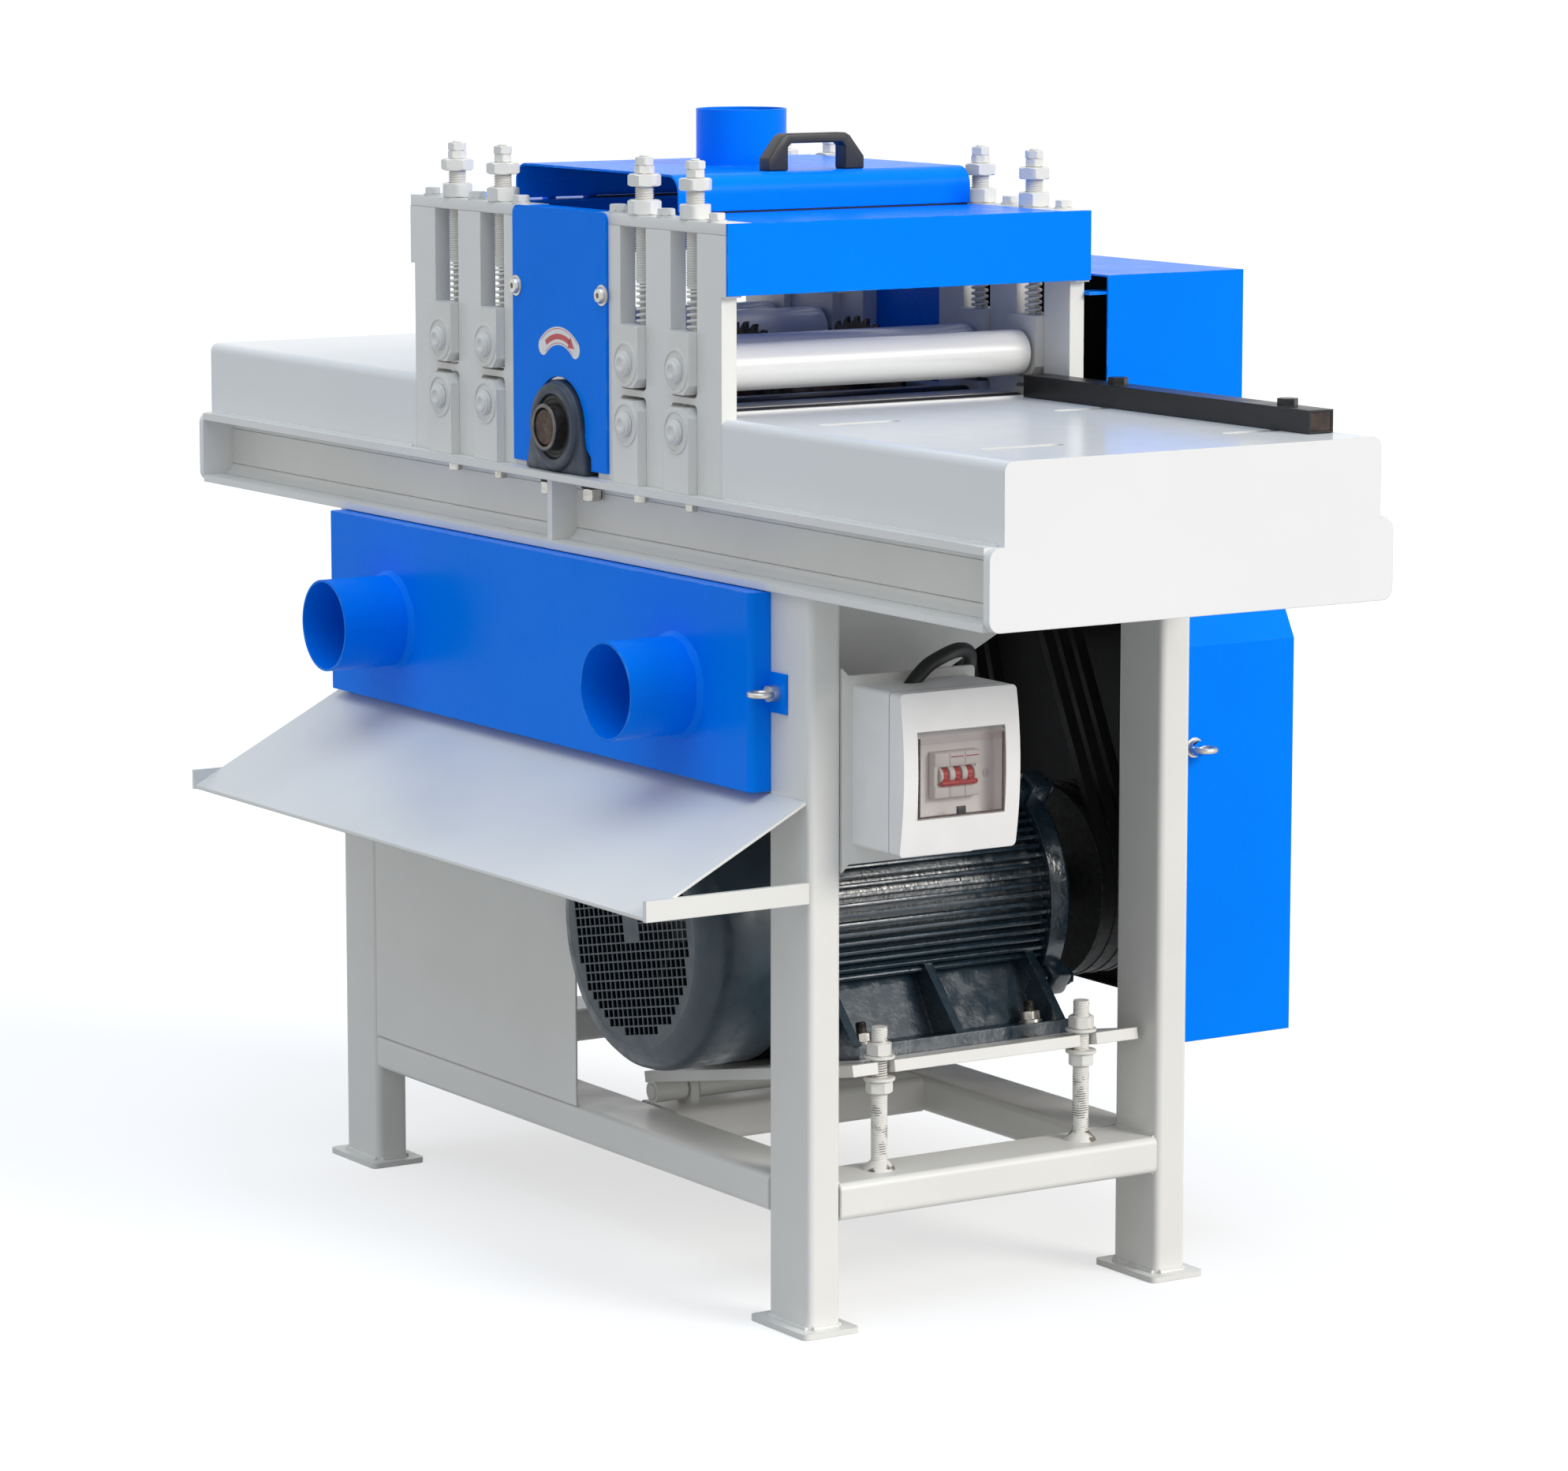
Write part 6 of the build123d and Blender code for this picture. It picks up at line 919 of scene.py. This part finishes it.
lathe(mesh, (PLATE_X - 0.0002, -0.0690, 0.563), (1, 0, 0),
      [(0.0042, 0.0), (0.0042, 0.0008), (0.0034, 0.0016), (0.0016, 0.0016), (0.0013, 0.0008), (0, 0.0008)],
      24)
piece("switch_pole_faces", mesh, "machine", switch_grey, "white_plastic")
mesh = bmesh.new()
for pole in POLES[1:]:
    left, right = SWITCH_Y + pole - STRIPE_HALF, SWITCH_Y + pole + STRIPE_HALF
    block(mesh, (SWITCH_X + 0.0007, left, SWITCH_Z + 0.0172),
          (SWITCH_X + 0.0010, right, SWITCH_Z + 0.0182), 0.0001, 1)
piece("switch_stripes", mesh, "machine", lever_red, "red_plastic")

PIVOT = Matrix.Translation((PIVOT_X, SWITCH_Y, SWITCH_Z)) @ Matrix.Rotation(math.radians(45), 4, "Y")
LEVER, LEVER_YS, LEVER_R = 0.0070, (-0.0147, 0.0, 0.0147), 0.0068
BAR_LOW, BAR_HIGH = (0.0090, -0.0218, -0.0030), (0.0130, 0.0218, 0.0030)
mesh = bmesh.new()
for offset in LEVER_YS:
    near, far = offset - LEVER / 2, offset + LEVER / 2
    lathe(mesh, (0, near, 0), (0, 1, 0),
          [(0, 0.0), (LEVER_R - 0.0006, 0.0), (LEVER_R, 0.0006), (LEVER_R, LEVER - 0.0006),
           (LEVER_R - 0.0006, LEVER), (0, LEVER)], 28)
    block(mesh, (0.003, near + 0.0003, -0.0028), (0.0125, far - 0.0003, 0.0028), 0.0008)
block(mesh, BAR_LOW, BAR_HIGH, 0.0018, 3)
move(mesh, PIVOT)
piece("switch_levers", mesh, "breaker_toggle", lever_red, "red_plastic", "breaker_toggle")


# Motor lead
# A rubber-sheathed lead from a slanting hole in the breaker box, over the tab and down to the terminal
# box on the motor. It hangs slack between the two.
LEAD, LEAD_WAY = 0.015, [(0.512, -0.133, 0.641), (0.5076, -0.111, 0.663), (0.503, -0.084, 0.673),
                         (0.488, -0.052, 0.677), (0.471, -0.026, 0.669), (0.460, -0.024, 0.640),
                         (0.456, -0.030, 0.604), (0.444, -0.022, 0.576), (0.414, -0.006, 0.557),
                         (0.374, 0.010, 0.549)]
LEAD_WAY += [tuple(MOTOR @ Vector((along, 0.025, 0.149))) for along in (0.154, 0.110)]


def lead_mesh(thickness):
    curve = bpy.data.curves.new("lead_line", "CURVE")
    curve.dimensions = "3D"
    curve.bevel_depth = thickness / 2
    curve.bevel_resolution = 5
    curve.use_fill_caps = True
    spline = curve.splines.new("NURBS")
    spline.points.add(len(LEAD_WAY) - 1)
    for point, spot in zip(spline.points, LEAD_WAY):
        point.co = (*spot, 1)
    spline.order_u = 3
    spline.use_endpoint_u = True
    spline.resolution_u = 12
    made = bpy.data.objects.new("lead_line", curve)
    data = bpy.data.meshes.new_from_object(made)
    bpy.data.objects.remove(made)
    return data


lead_path = [vert.co.copy() for vert in lead_mesh(0.0).vertices]
mesh = bmesh.new()
mesh.from_mesh(lead_mesh(LEAD))
bmesh.ops.remove_doubles(mesh, verts=mesh.verts[:], dist=MERGE)
lead_rubber = rubber("lead_rubber", (0.008, 0.008, 0.008), 0.42, 0.35)
lead = piece("motor_lead", mesh, None, lead_rubber, "black_rubber", "motor_cable", smooth=60.0)
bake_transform(lead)


# Rip fence
# Black-painted steel tube with plugged ends, clamped on the infeed table by two bolts through cross slots.
# The paint is worn to grey along the edges that the timber rubs.
black_paint = enamel("black_enamel", (0.012, 0.012, 0.013), (0.008, 0.008, 0.009), (0.09, 0.085, 0.08),
                     0.30, 0.15)
dress(black_paint, "fence")
TUBE, WALL, BOLT_HEAD, PLUG, PLUG_SUNK = 0.023, 0.0025, 0.0075, 0.005, 0.0006
low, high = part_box("fence")
top = high.z - BOLT_HEAD - WALL
mesh = bmesh.new()
for start, end in ((high.x - PLUG, high.x - PLUG_SUNK), (low.x + PLUG_SUNK, low.x + PLUG)):
    block(mesh, (start, low.y + WALL, top - TUBE + 2 * WALL), (end, high.y - WALL, top), 0.0004, 1)
plug_steel = oiled_steel("fence_plug_steel", (0.060, 0.038, 0.030), (0.022, 0.015, 0.013), 0.40, 0.4)
piece("fence_end_plugs", mesh, "fence", plug_steel, "black_paint")


# Floor, light and camera
# A plain pale floor that fills the view, a soft key light from the infeed end, a cool light from above
# and an even pale surround.
def background_share(tree):
    path = tree.nodes.new("ShaderNodeLightPath")
    share = path.outputs["Is Camera Ray"]
    for ray in ("Is Glossy Ray", "Is Transmission Ray"):
        share = combine(tree, "MAXIMUM", share, path.outputs[ray])
    return share


mesh = bmesh.new()
bmesh.ops.create_grid(mesh, x_segments=1, y_segments=1, size=200.0)
data = bpy.data.meshes.new("floor")
mesh.to_mesh(data)
mesh.free()
floor = bpy.data.objects.new("floor", data)
bpy.context.scene.collection.objects.link(floor)
floor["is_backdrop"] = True
pale, tree, shader, place = surface("pale_floor")
put(tree, shader, Base_Color=(0.45, 0.45, 0.45, 1), Roughness=0.9, Specular_IOR_Level=0.0,
    Emission_Color=(1, 1, 1, 1), Emission_Strength=combine(tree, "MULTIPLY", background_share(tree), 0.62))
data.materials.append(pale)

world = bpy.data.worlds.new("studio")
bpy.context.scene.world = world
world.use_nodes = True
tree = world.node_tree
surround = tree.nodes["Background"]
put(tree, surround, Color=(0.97, 0.98, 1.0, 1), Strength=0.53)
white = add(tree, "ShaderNodeBackground", Color=(1, 1, 1, 1), Strength=1.0)
mix = tree.nodes.new("ShaderNodeMixShader")
link(tree, mix.inputs[0], background_share(tree))
link(tree, mix.inputs[1], surround.outputs["Background"])
link(tree, mix.inputs[2], white.outputs["Background"])
link(tree, tree.nodes["World Output"].inputs["Surface"], mix.outputs["Shader"])


def sun(name, energy, colour, angle, direction):
    made = bpy.data.objects.new(name, bpy.data.lights.new(name, "SUN"))
    made.data.energy = energy
    made.data.color = colour
    made.data.angle = math.radians(angle)
    made.rotation_euler = Vector(direction).to_track_quat("Z", "Y").to_euler()
    bpy.context.scene.collection.objects.link(made)


sun("key", 2.05, (1.0, 0.96, 0.90), 24, (1.0, 0.42, 0.50))
sun("sky", 1.25, (0.64, 0.81, 1.0), 60, (0.15, -0.26, 0.96))

SENSOR, PHOTO_WIDE, FOCAL = 36.0, 1988, 7050
camera = bpy.data.objects.new("camera", bpy.data.cameras.new("camera"))
camera.location = (5.0024, -3.158, 1.423)
camera.rotation_euler = (math.radians(90 - 8.61), 0, math.radians(57.29))
camera.data.sensor_width = SENSOR
camera.data.lens = SENSOR * FOCAL / PHOTO_WIDE
camera.data.shift_x = -1 / PHOTO_WIDE
camera.data.shift_y = -0.0028
camera.data.clip_end = 500.0
bpy.context.scene.collection.objects.link(camera)
bpy.context.scene.camera = camera
bpy.context.scene.view_settings.view_transform = "Standard"

low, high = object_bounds()
